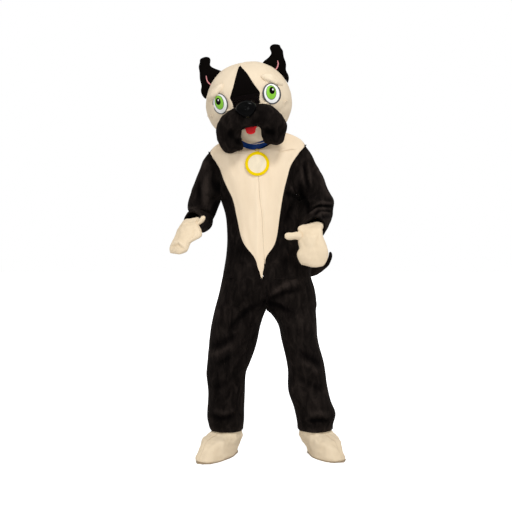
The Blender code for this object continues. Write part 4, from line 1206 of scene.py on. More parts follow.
@dataclass
class Jumpsuit:
    """The jumpsuit's two front panels, two back panels and the bib's two halves.

    Attributes:
        front: Cut of a front panel.
        back: Cut of a back panel.
        bib: Cut of half the bib.
        hem_level: Height over the trouser hems in mm.
        join: Points of the coarse panels nearer than this are joined, in mm.
        bib_dip: How far the bib's edges round in at the seams, in mm.
        crotch_seam: Places (x, z) on the seam over the crotch, in mm.
        crotch_reach: Radius round each of those places that is drawn to the seam, in mm.
        crotch_draw: How far each panel is drawn to that seam, in mm.
        folds: Folds and hollows of the torso and legs.
    """

    front: Cut = Cut(0.30, 1.42, 0.70)
    back: Cut = Cut(0.34, 1.45, 0.78)
    bib: Cut = Cut(0.23, 0.68, 0.57)
    hem_level: float = -1290.0
    join: float = 3.4
    bib_dip: float = 0.35
    crotch_seam: Line = ((44, -664), (46, -692))
    crotch_reach: float = 18.0
    crotch_draw: float = 0.95
    folds: tuple[Relief, ...] = (
        Fold(((122, -216), (160, -228), (188, -234)), 12, -5),
        Fold(((151, -190), (191, -211)), 10, 4),
        Fold(((187, -234), (151, -299), (129, -357)), 14, -4.5),
        Dent((-77, -478), 40, -4),
        Fold(((48, -694), (95, -655), (145, -627), (219, -613)), 15, 5),
        Fold(((32, -708), (75, -690), (126, -667), (194, -658)), 11, -5),
        Fold(((23, -713), (81, -722), (149, -758)), 13, -6),
        Fold(((23, -717), (-54, -758), (-131, -839)), 13, -5),
        Fold(((30, -740), (75, -790), (95, -860)), 14, -3.5),
        Fold(((-235, -938), (-158, -902), (-99, -861)), 14, -4),
        Fold(((-225, -970), (-150, -935), (-100, -900)), 14, 3.5),
        Fold(((-190, -1011), (-113, -956)), 12, -3.5),
        Fold(((-200, -1110), (-135, -1080)), 14, -3),
        Fold(((194, -938), (248, -974), (294, -1011)), 15, -4),
        Fold(((190, -975), (240, -1005), (280, -1040)), 14, 3.5),
        Fold(((200, -1060), (250, -1095), (300, -1120)), 14, -3),
        Fold(((240, -1232), (284, -1222), (328, -1236)), 15, 5),
        Fold(((240, -1262), (284, -1256), (330, -1266)), 9, -7),
        Fold(((-210, -1240), (-160, -1252), (-110, -1238)), 11, -4),
        Fold(((-200, -1216), (-150, -1224), (-105, -1214)), 12, 3.5),
        Fold(((0, -120), (2, -330), (0, -560)), 8, 3),
        Fold(((54, -130), (58, -230), (50, -330)), 10, -2),
        Fold(((118, -8), (98, -50), (80, -94)), 12, -4),
        Fold(((-120, -26), (-106, -80), (-95, -139)), 12, -3.5),
        Fold(((-60, -330), (-40, -420), (-20, -500)), 14, -2.2),
        Fold(((-40, -700), (-100, -680), (-170, -690)), 16, -4, Side.BACK),
        Fold(((40, -700), (100, -680), (180, -690)), 16, -4, Side.BACK),
        Fold(((-30, -735), (-90, -770), (-160, -780)), 16, 4, Side.BACK),
        Fold(((30, -735), (90, -770), (180, -790)), 16, 4, Side.BACK),
        Fold(((-220, -930), (-150, -945), (-95, -925)), 14, -5, Side.BACK),
        Fold(((-215, -975), (-150, -985), (-95, -970)), 14, 4, Side.BACK),
        Fold(((180, -950), (240, -965), (300, -975)), 14, -5, Side.BACK),
        Fold(((190, -995), (240, -1010), (300, -1015)), 14, 4, Side.BACK),
        Fold(((-6, -60), (4, -300), (-4, -560)), 13, -3, Side.BACK),
        Fold(((-150, -120), (-110, -200), (-90, -290)), 15, -4, Side.BACK),
        Fold(((150, -120), (110, -210), (95, -290)), 15, -4, Side.BACK),
        Pull((34, -600), 60, (-10, 0, 0)),
        Pull((9, -606), 15, (9, 0, 0)),
        Pull((36, -606), 15, (-8, 0, 0)),
        Pull((4, -582), 16, (6, 0, 0)),
        Pull((36, -582), 16, (-6, 0, 0)),
        Pull((192, -378), 34, (16, 0, 0)),
        Pull((222, -560), 40, (22, 0, 0)),
        Pull((162, -1130), 60, (-11, 0, 0)),
        Pull((335, -1245), 35, (14, 0, -2)),
        Pull((40, -737), 30, (0, 0, -15)),
        Gathers((-150, 0), -1318, 26, 9, 2.4),
        Gathers((280, 0), -1318, 26, 9, 2.4),
        Unevenness(120, 3.2, 3.1),
        Unevenness(42, 1.3, 8.4, 2.6),
    )

    def build(self) -> None:
        """Build the six panels."""
        for side, draw in (("left", self.crotch_draw), ("right", -self.crotch_draw)):
            closing = [Pull(place, self.crotch_reach, (draw, 0, 0)) for place in self.crotch_seam]
            for part, cut in (("front", self.front), ("back", self.back)):
                panel = Panel(f"{part}_{side}", BLACK_PLUSH, cut, join=self.join, free_below=self.hem_level)
                panel.make([*self.folds, *closing])
            bib = Panel(f"bib_{side}", CREAM_PLUSH, self.bib, dip=self.bib_dip, join=self.join)
            bib.make(self.folds)


@dataclass
class Sleeves:
    """Both sleeves, bent at the elbow, with bunched cloth in the crook.

    Attributes:
        cut: Cut of one sleeve.
        cuff_level: Height over the cuffs in mm.
        left: Folds of the left sleeve.
        right: Folds of the right sleeve.
    """

    cut: Cut = Cut(0.42, 0.44, 0.86, "gathered")
    cuff_level: float = -270.0
    left: tuple[Relief, ...] = (
        Fold(((-232, -123), (-236, -210), (-232, -297)), 13, 6),
        Fold(((-265, -160), (-268, -220), (-267, -277)), 11, -5),
        Fold(((-210, -160), (-196, -188), (-179, -211)), 12, -5),
        Fold(((-177, -160), (-172, -190), (-170, -218)), 11, -5),
        Fold(((-181, -255), (-198, -305), (-214, -358)), 12, -5),
        Fold(((-320, -295), (-295, -292), (-262, -303)), 8, 5),
        Fold(((-322, -304), (-295, -302), (-262, -312)), 6, -5),
        Fold(((-322, -312), (-296, -310), (-262, -320)), 8, 5),
        Fold(((-322, -329), (-294, -327), (-258, -336)), 8, 4),
        Fold(((-250, -60), (-236, -90), (-228, -120)), 14, 3),
        Fold(((-310, -250), (-280, -262), (-240, -258)), 12, -4, Side.BACK),
        Fold(((-320, -290), (-290, -300), (-240, -296)), 12, 4, Side.BACK),
        Fold(((-320, -330), (-290, -338), (-240, -330)), 12, -4, Side.BACK),
        Pull((-296, -330), 44, (0, -22, -27), Side.FRONT),
        Pull((-332, -318), 26, (11, 0, 0)),
        Unevenness(70, 3.6, 5.2),
        Unevenness(30, 1.4, 9.9, 1.6),
    )
    right: tuple[Relief, ...] = (
        Fold(((201, -86), (207, -136), (216, -189)), 9, 5),
        Fold(((219, -79), (226, -138), (234, -196)), 8, -5),
        Fold(((234, -72), (242, -134), (250, -196)), 9, 5),
        Fold(((270, -86), (290, -136), (307, -182), (337, -248)), 12, 4.5),
        Fold(((194, -178), (205, -229), (232, -277), (236, -321)), 11, -7),
        Fold(((250, -283), (293, -264), (353, -268)), 8, 6),
        Fold(((245, -302), (283, -278), (347, -281)), 6, -6),
        Fold(((240, -321), (271, -293), (340, -293)), 8, 6),
        Fold(((246, -333), (281, -302), (337, -303)), 6, -6),
        Fold(((256, -343), (293, -310), (333, -314)), 8, 5),
        Fold(((262, -355), (300, -328), (334, -328)), 8, -4),
        Fold(((250, -120), (290, -150), (320, -160)), 12, -4, Side.BACK),
        Fold(((240, -230), (290, -250), (340, -240)), 12, -5, Side.BACK),
        Fold(((240, -270), (290, -285), (350, -275)), 12, 5, Side.BACK),
        Pull((255, -350), 58, (2, -24, -34), Side.FRONT),
        Pull((205, -345), 32, (-12, -4, -16)),
        Pull((300, -386), 27, (-2, 0, -24)),
        Unevenness(70, 3.6, 1.7),
        Unevenness(30, 1.4, 2.3, 1.6),
    )

    def build(self) -> None:
        """Build both sleeves."""
        for side, folds in (("left", self.left), ("right", self.right)):
            Panel(f"sleeve_{side}", BLACK_PLUSH, self.cut, free_below=self.cuff_level).make(folds)


@dataclass
class Mitts:
    """Both mitts: palm, back and thumb of each, creased where the fingers bend.

    Attributes:
        half: Cut of a palm or back.
        thumb: Cut of a thumb.
        half_dip: How far a half's edges round in at the seams, in mm.
        thumb_dip: How far a thumb's edges round in, in mm.
        thumb_root: Shift that draws the left thumb's lower edge in to the mitt.
        creases: Creases of both mitts.
    """

    half: Cut = Cut(0.16, 0.29, 0.78, "gathered")
    thumb: Cut = Cut(0.09, 0.09, 0.74, "gathered")
    half_dip: float = 0.7
    thumb_dip: float = 0.4
    thumb_root: Pull = Pull((-246, -382), 26, (-36, 0, 6))
    creases: tuple[Relief, ...] = (
        Pull((-297, -296), 50, (0, 8, -30)),
        Pull((250, -300), 75, (-4, 6, -38)),
        Pull((196, -376), 22, (-10, 0, 0)),
        Pull((-262, -408), 28, (22, 0, -8)),
        Pull((-305, -468), 22, (10, 0, -5)),
        Pull((253, -545), 40, (0, 0, -12)),
        Pull((185, -433), 17, (-6, 0, 0)),
        Pull((180, -469), 13, (6, 0, 0)),
        Fold(((-382, -459), (-348, -445), (-308, -477)), 5, -5),
        Fold(((-378, -448), (-346, -434), (-305, -463)), 7, 3.5),
        Fold(((-350, -371), (-310, -362), (-275, -362)), 6, -2.5),
        Fold(((-276, -366), (-283, -413), (-300, -440)), 5, -3),
        Fold(((272, -395), (262, -440), (256, -470)), 6, -2),
        Fold(((284, -412), (300, -440), (309, -462)), 5, -2.2),
        Fold(((220, -395), (245, -405), (268, -400)), 6, -1.8),
        Fold(((192, -425), (205, -440), (212, -462)), 6, -2.2),
        Unevenness(46, 2.4, 4.4, 1.2),
        Unevenness(18, 1.0, 6.1, 1.2),
    )

    def build(self) -> None:
        """Build both mitts."""
        for side in ("left", "right"):
            for part in ("palm", "back"):
                half = Panel(f"mitt_{part}_{side}", LIMB_PLUSH, self.half, dip=self.half_dip)
                half.make(self.creases)
            thumb = Panel(f"mitt_thumb_{side}", LIMB_PLUSH, self.thumb, dip=self.thumb_dip)
            thumb.make([*self.creases, self.thumb_root])


@dataclass
class FootCovers:
    """Both foot covers: outer and inner half over a sole, gathered at the ankle.

    Attributes:
        half: Cut of an outer or inner half.
        heels: Rounding of the heels' inner corners.
        creases: Creases of both covers.
    """

    half: Cut = Cut(0.22, 0.33, 0.72, "gathered")
    heels: tuple[Relief, ...] = (
        Pull((-70, -1422), 26, (-19, 0, 2)),
        Pull((197, -1422), 40, (34, 0, 0)),
    )
    creases: tuple[Relief, ...] = (
        Ramp(-1332, 14, -3.5),
        Fold(((-228, -1345), (-205, -1352), (-185, -1340)), 6, -3),
        Fold(((-150, -1338), (-138, -1352), (-128, -1338)), 5, -3),
        Fold(((-118, -1336), (-108, -1350), (-100, -1342)), 5, -3),
        Fold(((-110, -1345), (-104, -1362), (-98, -1378)), 5, 2.5),
        Fold(((-250, -1370), (-215, -1378), (-190, -1360)), 9, 2),
        Fold(((270, -1338), (282, -1352), (300, -1340)), 5, -3),
        Fold(((330, -1342), (345, -1356), (360, -1372)), 6, -2.5),
        Fold(((300, -1360), (330, -1372), (365, -1388)), 9, 2),
        Gathers((-150, 0), -1336, 20, 14, 2.6),
        Gathers((284, 0), -1336, 20, 14, 2.6),
        Unevenness(60, 3.2, 7.7, 1.0),
        Unevenness(22, 1.6, 3.8, 1.0),
    )

    def build(self) -> None:
        """Build both foot covers and their soles."""
        for side in ("left", "right"):
            for part in ("outer", "inner"):
                panel = Panel(f"foot_{part}_{side}", LIMB_PLUSH, self.half, SMALL_LEVELS + 1)
                panel.make([*self.heels, *self.creases])
            sole = smoothed(f"foot_sole_{side}_moulded", whole_form(f"foot_sole_{side}"), 1)
            press(sole, self.heels)
            dress(sole, SOLE, f"foot_sole_{side}")


@dataclass
class Tail:
    """The stuffed tail.

    Attributes:
        creases: Its unevenness.
    """

    creases: tuple[Relief, ...] = (
        Dent((278, -590), 40, 9, Side.BOTH),
        Unevenness(40, 2.0, 2.9, 1.0),
    )

    def build(self) -> None:
        """Build the tail."""
        stuffed_piece("tail", BLACK_PLUSH, self.creases, SMALL_LEVELS)


# ---------------------------------------------------------------- the head


@dataclass
class Head:
    """The padded head: two face halves, two back halves, the blaze and the vision mesh.

    Attributes:
        face: Cut of a face half.
        back: Cut of a back half.
        blaze: Cut of the blaze.
        net: Cut of the vision mesh.
        join: Points of the coarse panels nearer than this are joined, in mm.
        chin: Drop of the face halves under the tongue.
        creases: Creases of the head.
    """

    face: Cut = Cut(0.26, 0.44, 0.76, "stretched")
    back: Cut = Cut(0.28, 0.45, 0.76, "stretched")
    blaze: Cut = Cut(0.15, 0.20, 0.53, "stretched")
    net: Cut = Cut(0.14, 0.075, 0.86, "stretched")
    join: float = 4.0
    chin: Pull = Pull((-12, 12), 50, (0, 0, -10))
    creases: tuple[Relief, ...] = (
        Pull((-60, 366), 60, (0, 0, -6)),
        Pull((-70, 340), 25, (-5, 0, 5)),
        Fold(((37, 268), (62, 254), (86, 246), (112, 232)), 6, -2.6),
        Fold(((-206, 178), (-176, 203), (-152, 230)), 5, -4.5),
        Fold(((67, 158), (87, 150), (107, 144)), 6, -1.6),
        Fold(((102, 147), (125, 168), (147, 193)), 8, -1.8),
        Fold(((-190, 100), (-165, 113), (-150, 130)), 9, -1.4),
        Unevenness(110, 2.6, 2.2, 1.0),
        Unevenness(34, 0.8, 5.5, 1.0),
    )

    def build(self) -> None:
        """Build the shell's six pieces."""
        for side in ("left", "right"):
            face = Panel(f"head_face_{side}", HEAD_PLUSH, self.face, wall=HEAD_WALL, join=self.join)
            face.make([*self.creases, self.chin])
            back = Panel(f"head_back_{side}", HEAD_PLUSH, self.back, wall=HEAD_WALL, join=self.join)
            back.make(self.creases)
        Panel("head_blaze", DARK_PLUSH, self.blaze, wall=HEAD_WALL).make(self.creases)
        Panel("head_vision_mesh", NETTING, self.net, wall=HEAD_WALL).make([])


@dataclass(frozen=True)
class EyePlane:
    """Middle and directions of an eye as seen from the front.

    Attributes:
        middle: Its middle (x, z) in metres.
        long_way: Its long direction (x, z).
        wide_way: Its wide direction (x, z).
        front: Its foremost y in metres.
    """

    middle: np.ndarray
    long_way: np.ndarray
    wide_way: np.ndarray
    front: float

    @classmethod
    def of(cls, node: str, slide: Spot) -> "EyePlane":
        """Find the plane of an eye's CAD node.

        Args:
            node: Name of the node.
            slide: Shift of the middle (x, z) in mm.

        Returns:
            The plane.
        """
        points = points_of(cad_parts[node].data)
        flat = points[:, [0, 2]]
        _, directions = np.linalg.eigh(np.cov((flat - flat.mean(axis=0)).T))
        long_way = directions[:, 1] * (1 if directions[1, 1] > 0 else -1)
        middle = (flat.max(axis=0) + flat.min(axis=0)) / 2 + np.array(slide) * MM
        return cls(middle, long_way, np.array([long_way[1], -long_way[0]]), float(points[:, 1].min()))

    def fit(self, piece: bpy.types.Object, long_share: float, wide_share: float, slide: Spot) -> None:
        """Make an eye's rim fit the plane.

        Args:
            piece: The rim.
            long_share: Share of its length that is kept.
            wide_share: Share of its width that is kept.
            slide: Shift of the rim (x, z) in mm.
        """
        places = points_of(piece.data)
        offset = places[:, [0, 2]] + np.array(slide) * MM - self.middle
        along = (offset @ self.long_way * long_share)[:, None] * self.long_way
        across = (offset @ self.wide_way * wide_share)[:, None] * self.wide_way
        places[:, [0, 2]] = self.middle + along + across
        set_points(piece.data, places)


@dataclass(frozen=True)
class Disc:
    """An oval on an eye, placed in the eye's own long and wide directions.

    Attributes:
        name: What it is.
        finish: Its finish.
        along: Offset of its middle along the eye's long way, in mm.
        across: Offset along the wide way, in mm.
        half_long: Half its length in mm.
        half_wide: Half its width in mm.
        rise: Height of its middle over its rim in mm.
        lift: Height of its rim over what it lies on, in mm.
    """

    name: str
    finish: Finish
    along: float
    across: float
    half_long: float
    half_wide: float
    rise: float
    lift: float = 0.25

    def place(self, eye: str, below: bpy.types.Object, plane: EyePlane) -> bpy.types.Object:
        """Build the disc on the surface under it.

        Args:
            eye: Name of the eye.
            below: The piece that it lies on.
            plane: Middle and directions of the eye.

        Returns:
            The disc.
        """
        surface = ray_surface(below)
        disc = bmesh.new()
        bmesh.ops.create_uvsphere(disc, u_segments=48, v_segments=24, radius=1.0)
        for vert in disc.verts:
            x, depth, z = vert.co
            spot = plane.middle + plane.long_way * (self.along + z * self.half_long) * MM
            spot = spot + plane.wide_way * (self.across + x * self.half_wide) * MM
            met = depth_at(surface, *spot)
            ground = plane.front if met is None else met
            vert.co = (spot[0], ground - (self.lift + depth * self.rise) * MM, spot[1])
        piece = new_piece(f"{eye}_{self.name}", disc)
        dress(piece, self.finish)
        return piece


@dataclass
class Face:
    """Eyes, brows, muzzle, nose and tongue.

    Attributes:
        left_eye: Discs of the left eye, from the bottom up.
        right_eye: Discs of the right eye.
        rim_length: Share of the eyes' length that their rims keep.
        left_width: Share of its width that the left rim keeps.
        right_width: Share of its width that the right rim keeps.
        left_slide: Shift of the left eye (x, z) in mm.
        right_slide: Shift of the right eye (x, z) in mm.
        brow_form: Form of the brows.
        tongue_form: Form of the tongue.
        muzzle_pinches: Pinches of the muzzle.
    """

    left_eye: tuple[Disc, ...] = (
        Disc("white", EYE_WHITE, 0, 0, 43.4, 29.9, 1.0),
        Disc("iris_line", EYE_RIM, 6, -2, 33, 20.5, 1.1),
        Disc("iris", IRIS_GREEN, 6, -2, 31, 18.5, 1.2),
        Disc("pupil", PUPIL_BLACK, 12, -5, 16.5, 11, 1.3),
        Disc("glint", EYE_WHITE, 17, -3, 4.5, 3, 1.3),
    )
    right_eye: tuple[Disc, ...] = (
        Disc("white", EYE_WHITE, 0, 0, 43.4, 34.5, 1.0),
        Disc("iris_line", EYE_RIM, 4, -3, 33, 23.5, 1.1),
        Disc("iris", IRIS_GREEN, 4, -3, 31, 21.5, 1.2),
        Disc("pupil", PUPIL_BLACK, 13, 1, 16.5, 12.5, 1.3),
        Disc("glint", EYE_WHITE, 17, 5, 4.5, 3.2, 1.3),
    )
    rim_length: float = 0.95
    left_width: float = 0.87
    right_width: float = 0.95
    left_slide: Spot = (-1.0, 2.0)
    right_slide: Spot = (2.0, 2.0)
    brow_form: tuple[Relief, ...] = (
        Pull((112, 270), 42, (0, 0, -14)),
        Pull((-190, 228), 60, (1, -6, -13)),
        Ramp(-1000, 1, 4.2),
        Fold(((-206, 188), (-177, 214), (-154, 240)), 5, -4),
        Fold(((26, 288), (70, 270), (110, 256)), 5, -3),
        Unevenness(24, 1.6, 2.0),
    )
    tongue_form: tuple[Relief, ...] = (
        Squeeze((-28, 78), (0.74, 0.95)),
        Pull((-41, 50), 11, (-4.4, 0, -2)),
        Pull((-15, 50), 11, (4.4, 0, -2)),
    )
    muzzle_pinches: tuple[Relief, ...] = (
        Pull((35, 46), 26, (-10, 0, 0)),
        Pull((37, 10), 22, (-4, 0, -7)),
        Pull((-27, 80), 26, (0, 0, -5)),
        Pull((-72, -22), 26, (11, 0, -5)),
        Dent((-116, 37), 14, -7),
        Dent((-85, 6), 13, -6),
        Dent((44, 50), 13, -5),
        Dent((66, 46), 12, -5),
        Fold(((-120, 60), (-100, 20), (-70, -5)), 12, -3),
        Fold(((30, 62), (55, 48), (80, 40)), 10, -3),
        Unevenness(50, 3.0, 6.3, 1.0),
        Unevenness(20, 1.0, 1.1, 1.0),
    )

    def build(self) -> None:
        """Build the pieces of the face."""
        eyes = (
            ("left", self.left_eye, self.left_width, self.left_slide),
            ("right", self.right_eye, self.right_width, self.right_slide),
        )
        for side, discs, width, slide in eyes:
            node = f"eye_{side}"
            below = smoothed(f"{node}_rim", whole_form(node), SMALL_LEVELS)
            plane = EyePlane.of(node, slide)
            plane.fit(below, self.rim_length, width, slide)
            dress(below, EYE_RIM, node)
            for disc in discs:
                below = disc.place(node, below, plane)
            stuffed_piece(f"brow_{side}", HEAD_PLUSH, self.brow_form, SMALL_LEVELS)
        stuffed_piece("muzzle", BLACK_PLUSH, self.muzzle_pinches, SUIT_LEVELS)
        nose = smoothed("nose_moulded", whole_form("nose"), SMALL_LEVELS + 1)
        dress(nose, NOSE_VINYL, "nose")
        tongue = smoothed("tongue_felt", whole_form("tongue"), SMALL_LEVELS)
        press(tongue, self.tongue_form)
        dress(tongue, RED_FELT, "tongue")


@dataclass
class Ears:
    """Both ears with their slips of pink lining.

    Attributes:
        lining: Cut of a lining.
        half_width: Half the width of a lining in mm.
        taper: Where a sine gives the width, from its start to its end, in radians.
        strips: Strips of faces across a lining.
        wall: Thickness of a lining in mm.
        slip_depth: How far the ear's front goes in and out under a lining, in mm.
        cleared: Share of the places under a lining that it stays in front of.
        lift: Height of a lining's edges over those places, in mm.
        crown: Further height of its middle in mm.
        form: Shifts and unevenness of both ears.
        left_edge: Line that the left lining follows, as points (x, z) in mm.
        right_edge: Line of the right lining.
    """

    lining: Cut = Cut(0.010, 0.056, 0.55, "stretched")
    half_width: float = 3.0
    taper: tuple[float, float] = (0.25, math.pi - 0.5)
    strips: int = 4
    wall: float = 1.5
    slip_depth: float = 14.0
    cleared: float = 0.9
    lift: float = 1.4
    crown: float = 1.2
    form: tuple[Relief, ...] = (
        Pull((-262, 376), 26, (-10, 0, 0)),
        Pull((-252, 402), 17, (-12, 0, 2)),
        Pull((-250, 266), 26, (-5, 0, -4)),
        Pull((100, 448), 27, (14, 0, -2)),
        Pull((92, 462), 16, (12, 0, 4)),
        Unevenness(50, 2.0, 3.3, 1.0),
    )
    left_edge: Line = ((-235, 323), (-232, 302), (-222, 287), (-207, 282))
    right_edge: Line = ((94, 390), (98, 374), (94, 358), (81, 343))

    def build(self) -> None:
        """Build both ears."""
        for side, line in (("left", self.left_edge), ("right", self.right_edge)):
            ear = stuffed_piece(f"ear_{side}", DARK_PLUSH, self.form, SMALL_LEVELS + 1)
            lining = self.slip(f"ear_lining_{side}_cloth", line, ear)
            dress(lining, PINK_PLUSH, f"ear_lining_{side}")
            self.lining.declare(lining)

    def plane_before(self, ear: bpy.types.Object, places: np.ndarray) -> np.ndarray:
        """Find the plane y = a + b x + c z that lies just in front of an ear.

        Args:
            ear: The ear.
            places: Places (x, z) in metres where its front is measured.

        Returns:
            The plane's a, b and c, in metres.
        """
        surface = ray_surface(ear)
        depths = [(x, z, depth_at(surface, x, z)) for x, z in places]
        met = np.array([(1.0, x, z, depth) for x, z, depth in depths if depth is not None])
        met = met[np.abs(met[:, 3] - np.median(met[:, 3])) < self.slip_depth * MM]
        plane = np.linalg.lstsq(met[:, :3], met[:, 3], rcond=None)[0]
        plane[0] -= max(0.0, np.quantile(met[:, :3] @ plane - met[:, 3], self.cleared)) + self.lift * MM
        return plane

    def slip(self, name: str, line: Line, ear: bpy.types.Object) -> bpy.types.Object:
        """Lay a narrow slip of cloth on an ear's front.

        Args:
            name: Name of the slip.
            line: Line that it follows.
            ear: The ear.

        Returns:
            The slip.
        """
        path = rounded_line(line, SMALL_LEVELS + 1)
        run = np.gradient(path, axis=0)
        aside = np.stack([run[:, 1], -run[:, 0]], axis=1) / np.linalg.norm(run, axis=1)[:, None]
        width = self.half_width * np.sin(np.linspace(*self.taper, len(path)))
        shares = np.linspace(-1.0, 1.0, self.strips + 1)
        places = np.concatenate([(path + aside * (width * share)[:, None]) * MM for share in shares])
        plane = self.plane_before(ear, places)
        bm = bmesh.new()
        bmesh.ops.create_grid(bm, x_segments=len(path) - 1, y_segments=self.strips)
        for vert, (x, z), across in zip(bm.verts, places, np.repeat(shares, len(path))):
            rise = self.crown * (1 - across * across) * MM
            vert.co = (x, float(plane @ (1.0, x, z)) - rise, z)
        bm.normal_update()
        if sum(face.normal.y for face in bm.faces) > 0:
            bmesh.ops.reverse_faces(bm, faces=bm.faces)
        piece = new_piece(name, bm)
        thicken(piece, self.wall)
        return piece


@dataclass
class Neck:
    """The head's gathered neck and the satin collar over it.

    Attributes:
        neck: Cut of the neck.
        gathers: Unevenness of the neck.
        collar: Cut of the collar.
        collar_wall: Thickness of the collar in mm.
        collar_dip: How far its edges round in, in mm.
        folds: Folds of the collar.
    """

    neck: Cut = Cut(0.62, 0.11, 0.85, "gathered")
    gathers: Relief = Unevenness(24, 1.4, 4.0, 2.0)
    collar: Cut = Cut(0.56, 0.046, 0.98, "gathered")
    collar_wall: float = 2.0
    collar_dip: float = 0.2
    folds: tuple[Relief, ...] = (
        Pull((-60, 0), 40, (0, 0, -9)),
        Pull((50, 0), 40, (0, 0, 7)),
        Fold(((-60, 12), (10, 18), (60, 26)), 4, 1.4, Side.BOTH),
        Fold(((-60, 4), (10, 8), (60, 14)), 4, -1.4, Side.BOTH),
        Unevenness(26, 1.5, 3.0, 0.6),
    )

    def build(self) -> None:
        """Build the neck and the collar."""
        Panel("head_neck", HEAD_PLUSH, self.neck, SMALL_LEVELS).make([self.gathers])
        levels = SMALL_LEVELS + 1
        collar = Panel("collar", BLUE_SATIN, self.collar, levels, self.collar_wall, self.collar_dip)
        collar.make(self.folds)


@dataclass
class Tag:
    """The round tag on its link.

    Attributes:
        link_form: How much smaller the link is.
    """

    link_form: Squeeze = Squeeze((1, -34), (0.7, 0.7))

    def build(self) -> None:
        """Build the tag's rim, face and link."""
        for node, finish in (("tag_rim", TAG_YELLOW), ("tag_face", TAG_CREAM), ("tag_link", TAG_YELLOW)):
            piece = smoothed(f"{node}_finished", whole_form(node), SMALL_LEVELS)
            if node == "tag_link":
                press(piece, [self.link_form])
            dress(piece, finish, node)


# ---------------------------------------------------------------- studio


@dataclass(frozen=True)
class Lamp:
    """A soft square light.

    Attributes:
        name: Its name.
        place: Where it stands, in metres.
        size: Side of the square in metres.
        power: Power in watts.
    """

    name: str
    place: tuple[float, float, float]
    size: float
    power: float

    def light(self, aim: Vector) -> None:
        """Add the light, turned to a place.

        Args:
            aim: The place.
        """
        light = bpy.data.lights.new(self.name, "AREA")
        light.shape = "SQUARE"
        light.size = self.size
        light.energy = self.power
        lamp = bpy.data.objects.new(self.name, light)
        lamp.location = self.place
        lamp.rotation_euler = (aim - Vector(self.place)).to_track_quat("-Z", "Y").to_euler()
        bpy.context.scene.collection.objects.link(lamp)


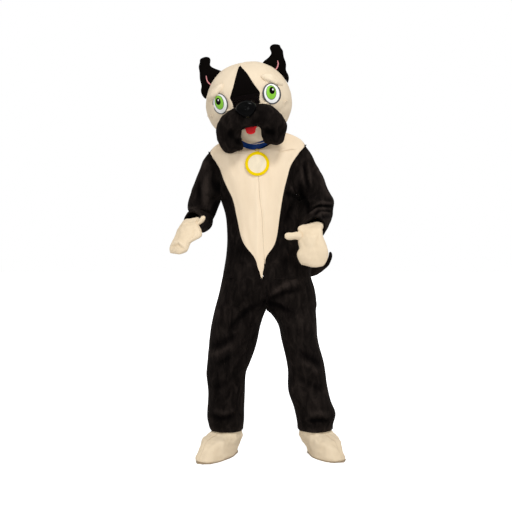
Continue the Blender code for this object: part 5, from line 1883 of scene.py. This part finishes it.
@dataclass
class Studio:
    """Pale floor, soft lights and the camera.

    Attributes:
        floor: Height of the floor in metres.
        floor_half: Half the width of the floor in metres.
        glow_reach: Distances in metres from which and up to which the floor gets paler.
        glow: How bright it is at those distances, where the camera sees it.
        distance: Distance from the camera to the costume in metres.
        scale: Metres to a pixel at that distance.
        pixels: Width of the picture in pixels.
        middle: Where the camera's axis meets the picture (x, y), in pixels from its top left.
        sensor: Width of the camera's sensor in mm.
        height: Height of the camera in metres.
        ambience: Strength of the light from all round.
        lamps: The lights.
        aim: Height that the lights are turned to, in metres.
    """

    floor: float = -1.4315
    floor_half: float = 12.0
    glow_reach: tuple[float, float] = (0.6, 2.4)
    glow: tuple[float, float] = (0.36, 1.0)
    distance: float = 4.5
    scale: float = 0.00465
    pixels: int = 512
    middle: Spot = (257.0, 205.1)
    sensor: float = 36.0
    height: float = -0.275
    ambience: float = 0.66
    lamps: tuple[Lamp, ...] = (
        Lamp("key", (0.8, -2.9, 2.9), 0.9, 73),
        Lamp("fill", (-2.4, -3.2, 1.2), 2.6, 9),
        Lamp("front", (-0.05, -4.2, 0.1), 0.3, 20),
    )
    aim: float = -0.45

    def build(self) -> None:
        """Build the studio."""
        bpy.context.scene.view_settings.view_transform = "Standard"
        self.add_floor()
        for lamp in self.lamps:
            lamp.light(Vector((0, 0, self.aim)))
        self.add_world()
        self.add_camera()

    def add_world(self) -> None:
        """Add the light from all round, which the camera sees as white."""
        world = bpy.data.worlds.new("studio")
        world.use_nodes = True
        tree = world.node_tree
        back = tree.nodes["Background"]
        seen = add_node(tree, "LightPath")
        strength = add_node(tree, "MapRange", {"To Min": self.ambience, "To Max": 1.0})
        tree.links.new(seen.outputs["Is Camera Ray"], strength.inputs["Value"])
        tree.links.new(strength.outputs["Result"], back.inputs["Strength"])
        set_inputs(back, {"Color": (1, 1, 1, 1)})
        bpy.context.scene.world = world

    def add_camera(self) -> None:
        """Add the camera, level and in front of the costume."""
        lens = bpy.data.cameras.new("camera")
        lens.sensor_width = self.sensor
        lens.lens = self.distance / self.scale / self.pixels * self.sensor
        lens.shift_x = (self.pixels / 2 - self.middle[0]) / self.pixels
        lens.shift_y = (self.middle[1] - self.pixels / 2) / self.pixels
        camera = bpy.data.objects.new("camera", lens)
        camera.location = (0, -self.distance, self.height)
        camera.rotation_euler = (math.pi / 2, 0, 0)
        bpy.context.scene.collection.objects.link(camera)
        bpy.context.scene.camera = camera

    def add_floor(self) -> None:
        """Add the floor, which fades to white away from the costume."""
        bm = bmesh.new()
        bmesh.ops.create_grid(bm, x_segments=2, y_segments=2, size=self.floor_half)
        bmesh.ops.translate(bm, verts=bm.verts, vec=(0, 0, self.floor))
        floor = new_piece("floor", bm)
        pale = bpy.data.materials.new("floor")
        pale.use_nodes = True
        tree = pale.node_tree
        shader = tree.nodes["Principled BSDF"]
        place = add_node(tree, "TexCoord")
        away = add_node(tree, "VectorMath", operation="LENGTH")
        (near, far), (dim, full) = self.glow_reach, self.glow
        fade = add_node(tree, "MapRange", {"From Min": near, "From Max": far, "To Min": dim, "To Max": full})
        seen = add_node(tree, "LightPath")
        shown = add_node(tree, "Math", operation="MULTIPLY")
        tree.links.new(place.outputs["Object"], away.inputs[0])
        tree.links.new(away.outputs["Value"], fade.inputs["Value"])
        tree.links.new(fade.outputs["Result"], shown.inputs[0])
        tree.links.new(seen.outputs["Is Camera Ray"], shown.inputs[1])
        tree.links.new(shown.outputs[0], shader.inputs["Emission Color"])
        set_inputs(shader, {"Base Color": (0.78, 0.78, 0.78, 1), "Roughness": 0.9, "Emission Strength": 1.0})
        floor.data.materials.append(pale)


def main() -> None:
    """Build the costume and its studio, one group of pieces after another."""
    logging.basicConfig(level=logging.INFO, format="%(message)s")
    suit = (Jumpsuit(), Sleeves(), Mitts(), FootCovers(), Tail())
    head = (Head(), Face(), Ears(), Neck(), Tag())
    for group in (*suit, *head):
        LOG.info("building %s", type(group).__name__)
        group.build()
    Studio().build()
    shown = [obj for obj in bpy.context.scene.objects if obj.type == "MESH" and obj.name != "floor"]
    total = sum(len(face.vertices) - 2 for obj in shown for face in obj.data.polygons)
    LOG.info("triangles in all: %d", total)


if __name__ == "__main__":
    main()
